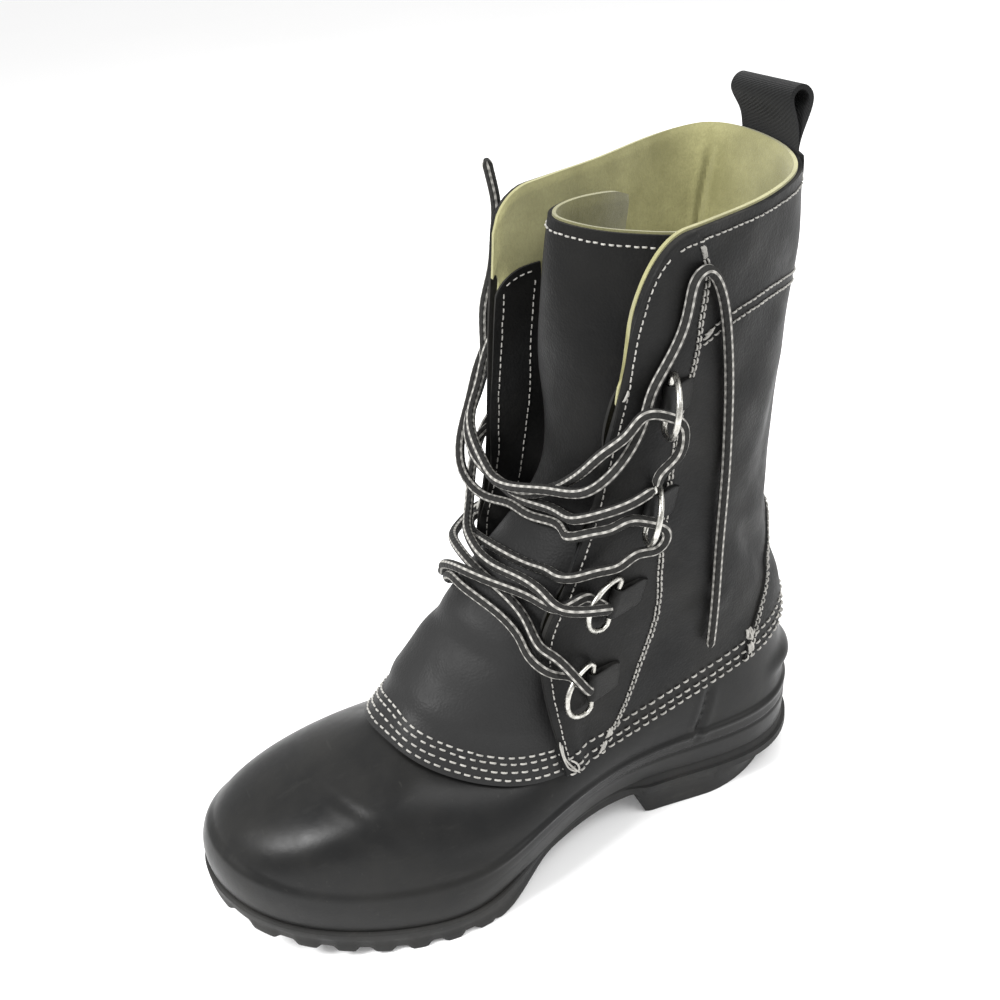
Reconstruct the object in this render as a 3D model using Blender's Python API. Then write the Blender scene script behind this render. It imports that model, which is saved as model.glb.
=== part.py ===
"""Lace-up pac boot for the left foot: rubber shell, leather shaft, felt lining and round laces.

Units are metres, +Z is up. The toe points to -Y, the outer (lateral) side is +X and the sole
stands on z = 0. Tables are in millimetres; points are moved by ORIGIN and scaled by MM when made.
"""
import math

import bmesh
import bpy
import numpy as np

MM = 0.001
ORIGIN = (0.0, -38.0, 0.0)    # the objects' origin in the tables' millimetres: a lug under the ball of the foot
GAP = 0.3                 # clearance between pieces that meet
UP = np.array([0.0, 0.0, 1.0])

# ---------------------------------------------------------------- driving sizes (millimetres)
SHELL_WALL = 3.0          # rubber with its bonded felt
SHELL_SECTIONS = 54
FOXING_PROUD = 1.2        # the foxing band stands this far out of the shell
FOXING_HEIGHT = 21.0      # top of the foxing band above the sole's upper edge
LEATHER = 1.8             # leather alone, where it laps over the rubber
SHAFT_WALL = 4.0          # leather and felt of the shaft
TONGUE_WALL = 3.4         # leather and felt of the tongue
LAP = 12.0                # height of the stitched lap of leather over rubber
LAP_GAP = 0.65            # clearance between the lap and the rubber's curved rim

SOLE_LEDGE = 3.0          # the sole stands out past the shell by this much
TREAD_DEPTH = 3.0
LUG_PITCH = 15.0
LUG_TOP = 8.5             # length of a lug's flat top along the foot
LUG_SLOPE = 1.0           # run of each lug's side along the foot
SCALLOP = 1.6             # lugs stand out past the gaps at the sole's edge
LUGS = 7
FIRST_LUG_Y = -33.0
WAIST_RAMP = 36.0         # the underside rises to the waist over this length behind the first lug
WAIST_INSET = 2.4         # the sole stands out less at the waist by this much
HEEL_TUCK = 9.0           # the heel block's rear corners run in under the foot by this much
BREAST_Y = 55.0           # front face of the heel block
WAIST_RISE = 12.0         # the waist's underside is this far off the floor
SPRING_START_Y = -68.0
TOE_SPRING = 21.0
HEEL_Y = 145.0
TOE_Y = -144.0

# Sections round the foot, from the heel round the outer side to the toe and back on the inner
# side. Each is one meridian of the rubber shell: it leaves the sole edge, swells and rolls over
# to the lap line, where the leather begins.
FOOT_COLUMNS = ("edge_x", "edge_y", "lap_x", "lap_y", "lap_z", "lean", "rise", "roll", "drop")
FOOT_SECTIONS = {
    "heel_back": (0, 145, 0, 144, 77, 3, 20, 3, 18),
    "heel_corner_out": (28, 129, 25, 128, 74, 3, 20, 3, 18),
    "heel_out": (35, 92, 35, 92, 67, 3, 18, 2, 15),
    "waist_out": (33, 32, 38, 38, 55, 5, 16, 3, 12),
    "ball_out": (58.5, -42, 41, -14, 57, 4, 22, 12, 8),
    "toe_out": (50.5, -87, 31, -42, 70, 4, 32, 24, 5),
    "tip_out": (23.5, -133.5, 11, -56, 78.5, 5, 34, 46, 14),
    "tip_in": (-16, -142, -12, -58.5, 76, 5, 34, 44, 14),
    "toe_in": (-46, -114, -34, -44, 65, 4, 28, 19, 10),
    "ball_in": (-50, -62, -40, -13, 57, 4, 22, 12, 8),
    "waist_in": (-33, 25, -38, 38, 55, 4, 18, 3, 12),
    "heel_in": (-34, 92, -34, 92, 67, 3, 18, 2, 15),
    "heel_corner_in": (-27, 129, -25, 128, 74, 3, 20, 3, 18),
}

# Height of the sole's upper edge along the foot.
SOLE_UPPER = ((-150, 33), (-132, 26.5), (-110, 19), (-88, 14), (-60, 11.5), (-38, 11.5), (-20, 14.5), (0, 17.5),
              (25, 19), (60, 21), (100, 21), (150, 21))

# Level sections of the open shaft: height, then x, y of the outer front edge, outer side, outer
# back corner, back, inner back corner (two places), inner side and inner front edge.
SHAFT_ROUND = (0.0, 0.15, 0.39, 0.5, 0.59, 0.64, 0.81, 1.0)
SHAFT_LEVELS = {
    "ankle": (108, (40, 9), (39, 55), (26, 124), (0, 143), (-22, 129.6), (-30, 115), (-38, 58), (-42, 14)),
    "shin_low": (150, (40, 24), (41, 67), (25, 124), (-2, 140), (-24, 128.6), (-32, 116.5),
                 (-42, 68), (-48, 21)),
    "shin_high": (215, (42, 49.5), (44, 83), (19, 140), (-10, 153), (-41, 148.5), (-52, 139),
                  (-53, 88), (-52, 34)),
    "collar": (288, (54, 60), (48, 92), (14.5, 152.5), (-19, 165.5), (-57, 166.2), (-69.5, 158),
               (-62, 104), (-46, 43)),
}
SHAFT_FRONT_TURN = 0.256  # turn of the outer front edge on the lap line
SHAFT_FRONT_TURN_IN = 0.765
SHAFT_RISE = 222.0        # from the lap line to the collar
SHAFT_KNOTS = (0, LAP, 44, 88, 150, SHAFT_RISE)    # rise of the lap line, the lap and each level
SHAFT_ROWS = (0, LAP / 2, LAP, LAP + 2.5, 28, 36, 50, 70, 92, 118, 150, 186, 208, SHAFT_RISE)
SHAFT_FRONT = (0, 0.008, 0.018, 0.03, 0.046, 0.064, 0.085)
SHAFT_GIRTH = 300.0       # round the shaft from one front edge to the other
STRAP_WIDTH = 40.0        # webbing of the pull loop
STRAP = 2.2
LOOP_ROUND = 0.515        # place of the pull loop round the shaft
LOOP_TOP = (-37.0, 173.0)  # its fold's middle, seen from above
LOOP_FOLD_WAY = (0.99, 0.1, 0.0)
LOOP_SEWN = 4.5           # its two ends are sewn together up to this height above the collar
# Outline of the folded strap above the collar, height and way out, from its inner sewn end
# round the fold.
LOOP_OUTLINE = ((0.6, -4.3), (5, -4.6), (9, -6.0), (15, -8.2), (19, -8.2), (22.7, -5.2), (23.3, -1.2),
                (20, 3.2), (13, 5.4), (7, 4.4), (4, 3.2), (0.6, 2.2))
RING_WIRE = 2.4           # D-ring wire diameter
RING_BAR = 28.0           # straight side of a D-ring
RING_REACH = 18.0         # depth of a D-ring
TAB_WIDTH = 15.0
TAB_LENGTH = 14.0
TAB = 1.5                 # leather of a ring tab
TAB_SEAT = 0.7            # a tab lies this far off the curved shaft
LACE = 4.5                # lace diameter
LACE_STEP = 15.0          # spacing of the lace's cross-sections on the straight
BEND_SPACING = 12.0       # and how much closer they come on a bend, in millimetres a radian
CORNER_OUT = (34, 42)     # rounding of the shaft's outer top corner, along and down
CORNER_IN = (16, 18)      # and of its inner one
TUCK_LIFT = 3.0           # the shaft's lower front corners ride over the vamp by this much

TONGUE_TUCK = 0.012       # the tongue runs on under the shaft's front edges, in turns
TONGUE_LENGTH = 230.0     # from the lap line to the tongue's top
TONGUE_KNOTS = (0, LAP, 30, 68, 106, 160, TONGUE_LENGTH)
TONGUE_ROWS = (0, LAP / 2, LAP, LAP + 2.5, 22, 30, 48, 68, 87, 106, 133, 160, 195, TONGUE_LENGTH)

# Sections of the vamp and tongue above the lap, outer face: x, y, z of the outer end, outer
# middle, centre, inner middle, the inner fold and the gusset's inner end.
TONGUE_ACROSS = (0.0, 0.22, 0.42, 0.62, 0.8, 1.0)
TONGUE_SECTIONS = {
    "instep": ((34, 20, 84), (29, -16, 92), (0, -32, 103), (-24, -27, 98), (-35, -6, 88), (-35, 18, 84)),
    "bend": ((33, 46, 124), (27, 14, 126), (2, -3, 134), (-22, 1, 131), (-36, 14, 124), (-35, 42, 122)),
    "shin": ((34, 62, 160), (26, 40, 162), (6, 30, 165), (-15, 33, 165), (-28, 48, 162), (-37, 68, 158)),
    "panel": ((37, 78, 212), (25, 55, 214), (4, 43, 218), (-18, 46, 218), (-29, 64, 214), (-43, 86, 208)),
    "top": ((43, 90, 283), (26, 70, 284), (6, 53, 286), (-14, 56, 287), (-24, 80, 285), (-50, 104, 272)),
}

# D-rings: side, number, place round the shaft, height, and how far the ring is swung out from
# the leather in degrees.
RINGS = (
    ("out", 1, 0.074, 96, 24), ("out", 2, 0.084, 136, 26),
    ("out", 3, 0.100, 177, 74), ("out", 4, 0.090, 224, 76),
    ("in", 1, 0.925, 101, 24), ("in", 2, 0.918, 134, 24),
    ("in", 3, 0.920, 177, 24), ("in", 4, 0.920, 222, 22),
)

# The lace. A pass takes it through a ring and round the wire: places from the middle of the bar,
# forward, out and up. A flat ring is threaded from below, a swung one from its front.
FLAT_PASS = ((15, 0.1, -0.5), (10.5, 0.2, -1), (7.0, 3.2, -0.8), (7.8, 7.6, 0.2), (12.5, 10.9, 1))
SWUNG_PASS = ((13, 7.4, -1), (4, 8.2, -1.5), (-3, 8.4, -4), (-5, 8.4, -9), (-1.5, 8.2, -14.5),
              (6, 7.6, -16.5))
DROP_PASS = ((13, 7.4, -1), (4, 8.2, -2), (-2.5, 8.4, -6), (-4.5, 8.4, -13), (-3, 8, -21),
             (2.5, 7.6, -28))

# How the lace turns in each ring: side, number, climb of the lace in degrees, pass, direction.
RING_PASSES = {
    "near 3": ("out", 3, 0, SWUNG_PASS, 1),
    "far 2": ("in", 2, 0, FLAT_PASS, 1),
    "near 1": ("out", 1, 38, FLAT_PASS, -1),
    "far 1": ("in", 1, 10, FLAT_PASS, 1),
    "near 2": ("out", 2, 12, FLAT_PASS, 1),
    "far 3": ("in", 3, 0, FLAT_PASS, -1),
    "far 4": ("in", 4, 0, FLAT_PASS, -1),
    "near 4": ("out", 4, 0, DROP_PASS, -1),
}

# Runs of the lace across the tongue, each with the ring that it comes to.
LACE_RUNS = (
    ("near 3", ((-66.4, 40, 215), (-66, 33, 203), (-62.5, 26, 190), (-57, 18, 177),
                (-47, 13.5, 164.5), (-30, 17, 158.5), (-12, 22.5, 162), (6, 25, 164.5),
                (20, 30.5, 166.5), (30, 30, 168), (37, 28.7, 170), (42.5, 30.5, 172.5),
                (46.5, 36, 174.5), (50.5, 42.5, 176.5))),
    ("far 2", ((50.5, 44, 158), (47.5, 35.5, 156.5), (44.5, 27, 155), (39.5, 22, 154),
               (32, 20.5, 153), (21, 16.8, 151),
               (11, 11.5, 152), (-1, 8.5, 151), (-12, 8, 148), (-28, 8.5, 143), (-41, 11, 139.5),
               (-50, 16, 137.5))),
    ("near 1", ((-57, 14, 133.5), (-50, 7, 134), (-40, 2, 137), (-26, -1, 141), (-12, -2, 143.5),
                (3, -0.5, 143), (17, 4.5, 138.5), (28, 8.2, 132.3), (35.5, 8.6, 127.8), (41.5, 9.6, 123.8),
                (46.6, 14.5, 119))),
    ("far 1", ((45, 12.5, 111.5), (42.8, 7.6, 115.5), (37, 5, 119.5), (30, 4.6, 123.8),
               (22, 0.8, 131), (11, -5, 136),
               (0, -8.5, 137.5), (-11, -9, 135.5), (-24, -8, 127), (-36, -3, 117), (-45, 5, 110))),
    ("near 2", ((-50, -1, 112), (-38, -6, 122), (-24, -8.5, 134), (-9, -8, 142), (4, -6, 146),
                (14, 0, 145), (24, 7.5, 143.5), (33, 12.4, 142.9), (40, 15.2, 142.4), (44.6, 20.1, 142.4))),
    ("far 3", ((49.5, 18.5, 145), (39, 14.3, 148.2), (24, 9.5, 149.5), (11, 4, 149.5), (1, 1.5, 150.5),
               (-10, 2, 150), (-25, 5, 148.5), (-41, 12, 149.5), (-53, 18, 154), (-61, 24, 162))),
    ("near 4", ((-53.5, 23.5, 174), (-47, 19.5, 171.5), (-30, 21, 168.5), (-11, 22.5, 169),
                (5, 24.5, 171.5), (19, 29.5, 173.5), (30, 30.7, 175.5), (37.5, 31.2, 177.8),
                (43.5, 34, 180.5), (48.8, 41, 183.5), (53, 50.5, 187), (54.5, 59.5, 191))),
)

# The slack ends of the lace, from the crossings on.
SLACK_NEAR = (
    ("near 4", ((54.6, 60.6, 192),)),
    ("far end", ((52, 51.5, 217), (47.3, 43.5, 209.5), (40, 38.3, 200.5), (30, 36, 191.5), (20, 32, 183.5),
                 (9, 24.5, 177.5), (-5, 20.5, 174.5), (-18, 19, 173.5), (-32, 17, 175.5),
                 (-45, 18, 180.5), (-55, 23, 187), (-59.5, 31, 197.5), (-60.5, 35, 208), (-61, 37, 222),
                 (-60.5, 39, 236), (-60, 44, 250), (-59.5, 47, 264), (-58.5, 49, 278),
                 (-56, 47.5, 290), (-52, 45, 300))),
)
SLACK_FAR = (
    ("far 4", ((-66.4, 40.9, 216.2),)),
    ("near end", ((-56, 34, 212), (-55.5, 30, 202), (-53, 24.5, 193), (-46, 20, 188), (-34, 17, 184.5),
                  (-20, 15.5, 181), (-5, 15, 180), (9, 19.5, 182), (22, 27.2, 185), (31, 31.2, 187),
                  (39, 35.2, 189.5), (45.5, 40, 194.5), (48.3, 47.5, 201.5), (48.5, 55.5, 210.5),
                  (48.6, 60.5, 220), (49.2, 64, 230), (49.9, 70.3, 240), (50.2, 77.5, 252),
                  (51.2, 80.5, 263),
                  (51.5, 83, 270.5), (51.3, 87, 273), (50.3, 91, 270.5), (49, 94.5, 263.5),
                  (47, 97.5, 251), (45, 99.3, 225), (43.8, 98.8, 200), (43, 97.5, 178),
                  (41.8, 94.5, 145), (41.2, 91.8, 115), (40.6, 89, 92))),
)


# ---------------------------------------------------------------- curves and surfaces
def cubic(knots, values, where):
    """Natural cubic spline through rows of values at rising knots, read at the places given."""
    knots = np.asarray(knots, float)
    values = np.asarray(values, float)
    flat = values.reshape(len(knots), -1)
    count = len(knots)
    step = np.diff(knots)
    slope = np.diff(flat, axis=0) / step[:, None]
    matrix = np.eye(count)
    right = np.zeros_like(flat)
    for i in range(1, count - 1):
        matrix[i, i - 1:i + 2] = step[i - 1], 2 * (step[i - 1] + step[i]), step[i]
        right[i] = 6 * (slope[i] - slope[i - 1])
    bend = np.linalg.solve(matrix, right)
    where = np.asarray(where, float)
    i = np.clip(np.searchsorted(knots, where, side="right") - 1, 0, count - 2)
    h = step[i][:, None]
    a = (knots[i + 1] - where)[:, None]
    b = (where - knots[i])[:, None]
    read = (bend[i] * a ** 3 / (6 * h) + bend[i + 1] * b ** 3 / (6 * h)
            + (flat[i] / h - bend[i] * h / 6) * a + (flat[i + 1] / h - bend[i + 1] * h / 6) * b)
    return read.reshape((len(where),) + values.shape[1:])


def closed_cubic(rows, turns):
    """Smooth closed curve through the rows, whose first two columns set the spacing."""
    rows = np.asarray(rows, float)
    around = np.vstack([rows, rows[:1]])
    chord = np.linalg.norm(np.diff(around[:, :2], axis=0), axis=1)
    knots = np.concatenate([[0.0], np.cumsum(chord)]) / chord.sum()
    lead = 4
    wrapped = np.vstack([rows[-lead:], rows, rows[:lead]])
    wrapped_knots = np.concatenate([knots[-1 - lead:-1] - 1.0, knots[:-1], knots[:lead] + 1.0])
    return cubic(wrapped_knots, wrapped, np.mod(turns, 1.0))


def unit(vectors):
    """The vectors at length 1."""
    return vectors / np.maximum(np.linalg.norm(vectors, axis=-1, keepdims=True), 1e-9)


def smooth(x, low, high):
    """0 below low, 1 above high and an even ramp between them."""
    t = np.clip((np.asarray(x, float) - low) / (high - low), 0.0, 1.0)
    return t * t * (3 - 2 * t)


def grid_normals(grid, closed):
    """Unit normals of a grid of points (round, up), to the right of the way round."""
    if closed:
        around = np.roll(grid, -1, axis=0) - np.roll(grid, 1, axis=0)
    else:
        around = np.gradient(grid, axis=0)
    return unit(np.cross(around, np.gradient(grid, axis=1)))


def sole_under(y):
    """Height of the sole's underside: heel block, raised waist, flat tread and toe spring."""
    raised = smooth(y, FIRST_LUG_Y, FIRST_LUG_Y + WAIST_RAMP) * (1 - smooth(y, BREAST_Y - 4, BREAST_Y))
    spring = TOE_SPRING * (np.clip((SPRING_START_Y - y) / (SPRING_START_Y - TOE_Y), 0, 1.2)) ** 1.7
    return WAIST_RISE * raised + spring


def sole_ledge(y):
    """How far the sole stands out past the shell, and how far its foot is tucked in again."""
    waist = smooth(y, FIRST_LUG_Y, FIRST_LUG_Y + WAIST_RAMP) * (1 - smooth(y, BREAST_Y - 8, BREAST_Y + 4))
    return SOLE_LEDGE - WAIST_INSET * waist, HEEL_TUCK * smooth(y, 85, 132)


def sole_upper(y):
    """Height of the sole's upper edge."""
    table = np.array(SOLE_UPPER, float)
    shape = np.shape(y)
    return cubic(table[:, 0], table[:, 1:], np.ravel(y)).reshape(shape)


def foot_table(turns):
    """The foot sections read at the turns: their columns and the outward way of the sole edge."""
    rows = list(FOOT_SECTIONS.values())
    turns = np.asarray(turns, float)
    read = closed_cubic(rows, turns)
    nudge = 0.002
    along = closed_cubic(rows, turns + nudge)[:, :2] - closed_cubic(rows, turns - nudge)[:, :2]
    along = unit(along)
    outward = np.column_stack([-along[:, 1], along[:, 0], np.zeros(len(turns))])
    return dict(zip(FOOT_COLUMNS, read.T)), outward


def foot_edge(turns):
    """Points of the shell's lower edge and the outward way there."""
    column, outward = foot_table(turns)
    edge = np.column_stack([column["edge_x"], column["edge_y"], sole_upper(column["edge_y"])])
    return edge, outward


def shell_paths(turns, climb):
    """Plain outer face of the shell: climb 0 at the sole's edge, 1 at the lap line."""
    column, outward = foot_table(turns)
    edge = np.column_stack([column["edge_x"], column["edge_y"], sole_upper(column["edge_y"])])
    lap = np.column_stack([column["lap_x"], column["lap_y"], column["lap_z"]])
    first = edge + outward * column["lean"][:, None] + UP * column["rise"][:, None]
    second = lap + outward * column["roll"][:, None] - UP * column["drop"][:, None]
    t = np.asarray(climb, float)[None, :, None]
    return ((1 - t) ** 3 * edge[:, None] + 3 * t * (1 - t) ** 2 * first[:, None]
            + 3 * t ** 2 * (1 - t) * second[:, None] + t ** 3 * lap[:, None])


def lap_points(turns, along):
    """Points of the face that carries the leather, `along` millimetres up from the lap line."""
    column, outward = foot_table(turns)
    lap = np.column_stack([column["lap_x"], column["lap_y"], column["lap_z"]])
    way = unit(UP * (column["drop"] + 30)[:, None] - outward * column["roll"][:, None])
    return lap[:, None] + way[:, None] * np.asarray(along, float)[None, :, None]


def lap_normals(turns):
    """The way out of the foot on the lap line."""
    column, outward = foot_table(turns)
    return unit(outward * (column["drop"] + 30)[:, None] + UP * column["roll"][:, None])


# ---------------------------------------------------------------- meshes and materials
def material(name, color, roughness, metallic=0.0):
    """Principled material of one part."""
    made = bpy.data.materials.new(name)
    made.use_nodes = True
    shader = made.node_tree.nodes["Principled BSDF"]
    shader.inputs["Base Color"].default_value = (*color, 1.0)
    shader.inputs["Roughness"].default_value = roughness
    shader.inputs["Metallic"].default_value = metallic
    return made


def make_object(name, points, faces, finish):
    """Mesh object from points in millimetres, with its faces turned outward."""
    mesh = bpy.data.meshes.new(name)
    mesh.from_pydata([tuple(p) for p in (np.asarray(points) - ORIGIN) * MM], [], faces)
    work = bmesh.new()
    work.from_mesh(mesh)
    bmesh.ops.recalc_face_normals(work, faces=work.faces)
    work.to_mesh(mesh)
    work.free()
    mesh.shade_smooth()
    mesh.set_sharp_from_angle(angle=math.radians(40))
    mesh.materials.append(finish)
    made = bpy.data.objects.new(name, mesh)
    bpy.context.scene.collection.objects.link(made)
    return made


def walled(outer, inner, closed):
    """Points and faces of a wall between two grids of the same size (round, up)."""
    nu, nv = outer.shape[:2]
    points = np.vstack([outer.reshape(-1, 3), inner.reshape(-1, 3)])

    def at(i, j, side):
        return (i % nu) * nv + j + side * nu * nv

    faces = []
    for i in range(nu if closed else nu - 1):
        for j in range(nv - 1):
            for side in (0, 1):
                near, far = at(i, j, side), at(i + 1, j, side)
                faces.append((near, far, at(i + 1, j + 1, side), at(i, j + 1, side)))
        for j in (0, nv - 1):
            faces.append((at(i, j, 0), at(i, j, 1), at(i + 1, j, 1), at(i + 1, j, 0)))
    if not closed:
        for i in (0, nu - 1):
            for j in range(nv - 1):
                faces.append((at(i, j, 0), at(i, j + 1, 0), at(i, j + 1, 1), at(i, j, 1)))
    return points, faces


def stacked_loops(loops):
    """Points and faces of a solid between stacked closed loops, capped from side to side."""
    count = len(loops[0])
    points = np.vstack(loops)
    faces = []
    for k in range(len(loops) - 1):
        for i in range(count):
            j = (i + 1) % count
            faces.append((k * count + i, k * count + j, (k + 1) * count + j, (k + 1) * count + i))
    for start in (0, (len(loops) - 1) * count):
        half = count // 2
        for i in range(half):
            left = (start + i, start + i + 1)
            right = (start + (count - i - 1) % count, start + (count - i) % count)
            faces.append(tuple(dict.fromkeys(left + right)))
    return points, faces


# ---------------------------------------------------------------- the foot
def sole_stations():
    """Places along the foot, heel to toe, with a pair for each side of each lug."""
    stations = [HEEL_Y - 72 * (i / 8) ** 2 for i in range(9)]
    stations += [BREAST_Y, BREAST_Y - 4, 44, 30, 17, 3, -6, -14, -22]
    for lug in range(LUGS):
        start = FIRST_LUG_Y - lug * LUG_PITCH
        stations += [start, start - LUG_SLOPE, start - LUG_SLOPE - LUG_TOP, start - 2 * LUG_SLOPE - LUG_TOP]
    last = stations[-1]
    stations += [TOE_Y + (last - TOE_Y) * (1 - i / 6) ** 2 for i in range(1, 6)]
    return stations


def turns_at(stations):
    """Turns of the outer side at the stations, then of the inner side back to the heel."""
    dense = np.linspace(0, 1, 4001)
    y = foot_table(dense)[0]["edge_y"]
    tip = int(np.argmin(y))
    heel = int(np.argmax(y[:tip]))
    far_heel = tip + int(np.argmax(y[tip:]))
    outer = np.interp(-np.array(stations[1:]), -y[heel:tip + 1], dense[heel:tip + 1])
    inner = np.interp(-np.array(stations[1:]), -y[tip:far_heel + 1][::-1], dense[tip:far_heel + 1][::-1])
    return np.concatenate([[dense[heel]], outer, [dense[tip]], inner[::-1]])


def tread(turns):
    """1 on a lug and 0 between lugs, for each place on the sole's edge."""
    y = foot_table(turns)[0]["edge_y"]
    phase = np.mod(FIRST_LUG_Y - y, LUG_PITCH)
    on = (phase > LUG_SLOPE * 0.6) & (phase < LUG_SLOPE * 1.4 + LUG_TOP)
    fore = y < FIRST_LUG_Y - 0.5
    toe = y < FIRST_LUG_Y - LUGS * LUG_PITCH
    return np.where(fore & ~toe, on.astype(float), 1.0)


def outsole(finish):
    """Lugged rubber sole with toe spring, raised waist and heel block."""
    turns = turns_at(sole_stations())
    edge, outward = foot_edge(turns)
    under = sole_under(edge[:, 1])
    lug = tread(turns)
    top = edge[:, 2] - GAP
    fore = edge[:, 1] < FIRST_LUG_Y
    side = (lug - 1) * SCALLOP * fore
    floor = under + TREAD_DEPTH * (1 - lug)
    ledge, tuck = sole_ledge(edge[:, 1])

    def loop(out, height):
        ring = edge + outward * np.reshape(out, (-1, 1))
        ring[:, 2] = height
        return ring

    loops = [
        loop(-SHELL_WALL, top),
        loop(ledge - 0.8 - tuck * 0.1, top),
        loop(ledge - tuck * 0.2, top - 1.2),
        loop(ledge + 0.4 - tuck * 0.6 + side * 0.4, under + (top - under) * 0.55),
        loop(ledge - 0.2 - tuck + side, floor + 1.2),
        loop(ledge - 1.4 - tuck + side, floor),
    ]
    return make_object("outsole", *stacked_loops(loops), finish)


def shell_rows(turns):
    """Outer face of the shell with its foxing band, up to the rim under the leather."""
    dense = np.linspace(0, 1, 81)
    paths = shell_paths(turns, dense)
    heights = (0, 7, 14, FOXING_HEIGHT - 1.2, FOXING_HEIGHT)
    rows = np.empty((len(turns), len(heights) + 7, 3))
    for i, path in enumerate(paths):
        rise = path[:, 2] - path[0, 2]
        stop = int(np.argmax(rise > FOXING_HEIGHT))
        places = np.interp(heights, rise[:stop + 1], dense[:stop + 1])
        rest = np.linspace(places[-1], 1, 6)[1:]
        where = np.concatenate([places, rest])
        for axis in range(3):
            rows[i, :len(where), axis] = np.interp(where, dense, path[:, axis])
    rows[:, -2:] = lap_points(turns, (LAP / 2, LAP))
    return rows


def rubber_shell(finish):
    """Hollow rubber foot, open at the throat and underneath."""
    turns = np.arange(SHELL_SECTIONS) / SHELL_SECTIONS
    outer = shell_rows(turns)
    normal = grid_normals(outer, closed=True)
    normal *= np.sign((normal[0, 0] * [0, 1, 0]).sum())
    proud = np.zeros(outer.shape[1])
    proud[:4] = FOXING_PROUD
    inner = outer - normal * SHELL_WALL
    inner[:, 0] = outer[:, 0] - foot_edge(turns)[1] * SHELL_WALL
    outer = outer + normal * proud[None, :, None]
    outer[:, 0, 2] = inner[:, 0, 2]
    return make_object("rubber_shell", *walled(outer, inner, closed=True), finish)


def insole(finish):
    """Felt insole lying on the sole inside the shell."""
    turns = turns_at(sole_stations()[::2])
    edge, outward = foot_edge(turns)

    def loop(out, height):
        ring = edge + outward * out
        ring[:, 2] += height
        return ring

    inset = -SHELL_WALL - 1.0
    loops = [loop(inset, 0.0), loop(inset, 4.0), loop(inset - 1.0, 5.0)]
    return make_object("insole", *stacked_loops(loops), finish)


# ---------------------------------------------------------------- shaft and tongue
def shaft_turns(u):
    """Turn on the foot's lap line below each place round the shaft."""
    u = np.asarray(u, float)
    near = SHAFT_FRONT_TURN * (1 - 2 * u)
    far = 1 - (1 - SHAFT_FRONT_TURN_IN) * (2 * u - 1)
    return np.where(u <= 0.5, near, far)


def corner_drop(distance, size):
    """How far a rounded corner lies below the collar, at a distance from the front edge."""
    along, down = size
    reach = np.clip((along - distance) / along, 0, 1)
    return down * (1 - np.sqrt(1 - reach ** 2))


def tuck(u):
    """1 where the shaft's lower front corners ride over the vamp, 0 further round."""
    edge = np.minimum(u, 1 - u)
    return 1 - smooth(edge, 0.03, 0.062)


def shaft_frame(u, v):
    """Outer face of the shaft: u round from the outer front edge, v up from lap line to collar."""
    turns = shaft_turns(u)
    lift = LAP_GAP + LEATHER + TUCK_LIFT * tuck(u)
    low = lap_points(turns, (0.0, LAP)) + (lap_normals(turns) * lift[:, None])[:, None]
    levels = []
    for height, *places in SHAFT_LEVELS.values():
        ring = cubic(SHAFT_ROUND, places, u)
        levels.append(np.column_stack([ring, np.full(len(u), float(height))]))
    stack = np.concatenate([low, np.stack(levels, axis=1)], axis=1)
    knots = np.array(SHAFT_KNOTS) / SHAFT_RISE
    drop = corner_drop(u * SHAFT_GIRTH, CORNER_OUT) + corner_drop((1 - u) * SHAFT_GIRTH, CORNER_IN)
    grid = np.empty((len(u), len(v), 3))
    for i in range(len(u)):
        grid[i] = cubic(knots, stack[i], v * (1 - drop[i] / SHAFT_RISE))
    return grid


def shaft(finish):
    """Leather quarters and shaft with their felt, open at the front and the collar."""
    u = np.concatenate([SHAFT_FRONT, np.linspace(0.11, 0.89, 25), 1 - np.array(SHAFT_FRONT[::-1])])
    v = np.array(SHAFT_ROWS) / SHAFT_RISE
    outer = shaft_frame(u, v)
    normal = grid_normals(outer, closed=False)
    if (normal[len(u) // 2, 3] * [0, 1, 0]).sum() < 0:
        normal = -normal
    height = v[None, :] * SHAFT_RISE
    start = LAP + 22 * tuck(u)[:, None]
    wall = LEATHER + (SHAFT_WALL - LEATHER) * smooth(height, start, start + 2.5)
    inner = outer - normal * wall[:, :, None]
    return make_object("shaft", *walled(outer, inner, closed=False), finish)


def tongue(finish):
    """Gusseted vamp and tongue in one piece, from the throat line up to the collar."""
    across = np.linspace(0, 1, 25)
    start = SHAFT_FRONT_TURN - TONGUE_TUCK
    stop = SHAFT_FRONT_TURN_IN + TONGUE_TUCK
    turns = start + (stop - start) * across
    low = lap_points(turns, (0.0, LAP)) + lap_normals(turns)[:, None] * (LAP_GAP + LEATHER)
    levels = [cubic(TONGUE_ACROSS, places, across) for places in TONGUE_SECTIONS.values()]
    stack = np.concatenate([low, np.stack(levels, axis=1)], axis=1)
    rows = np.array(TONGUE_ROWS)
    outer = cubic(TONGUE_KNOTS, stack.transpose(1, 0, 2), rows).transpose(1, 0, 2)
    normal = grid_normals(outer, closed=False)
    if (normal[len(across) // 2, 3] * [0, -1, 0]).sum() < 0:
        normal = -normal
    wall = np.where(rows <= LAP, LEATHER, TONGUE_WALL)
    inner = outer - normal * wall[None, :, None]
    return make_object("tongue", *walled(outer, inner, closed=False), finish)


# ---------------------------------------------------------------- trims
def shaft_spot(u, height):
    """A point on the shaft's outer face at a height, with the ways out, up and forward there."""
    v = np.linspace(0, 1, 61)
    spread = 0.01
    columns = shaft_frame(np.array([u - spread, u, u + spread]), v)
    level = [np.array([np.interp(height, c[:, 2], c[:, k]) for k in range(3)]) for c in columns]
    above = np.array([np.interp(height + 6, columns[1][:, 2], columns[1][:, k]) for k in range(3)])
    up = unit(above - level[1])
    side = 1 if u < 0.5 else -1
    out = unit(np.cross(up, level[0] - level[2]))
    return level[1], out, up, unit(np.cross(out, up)) * side


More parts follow.
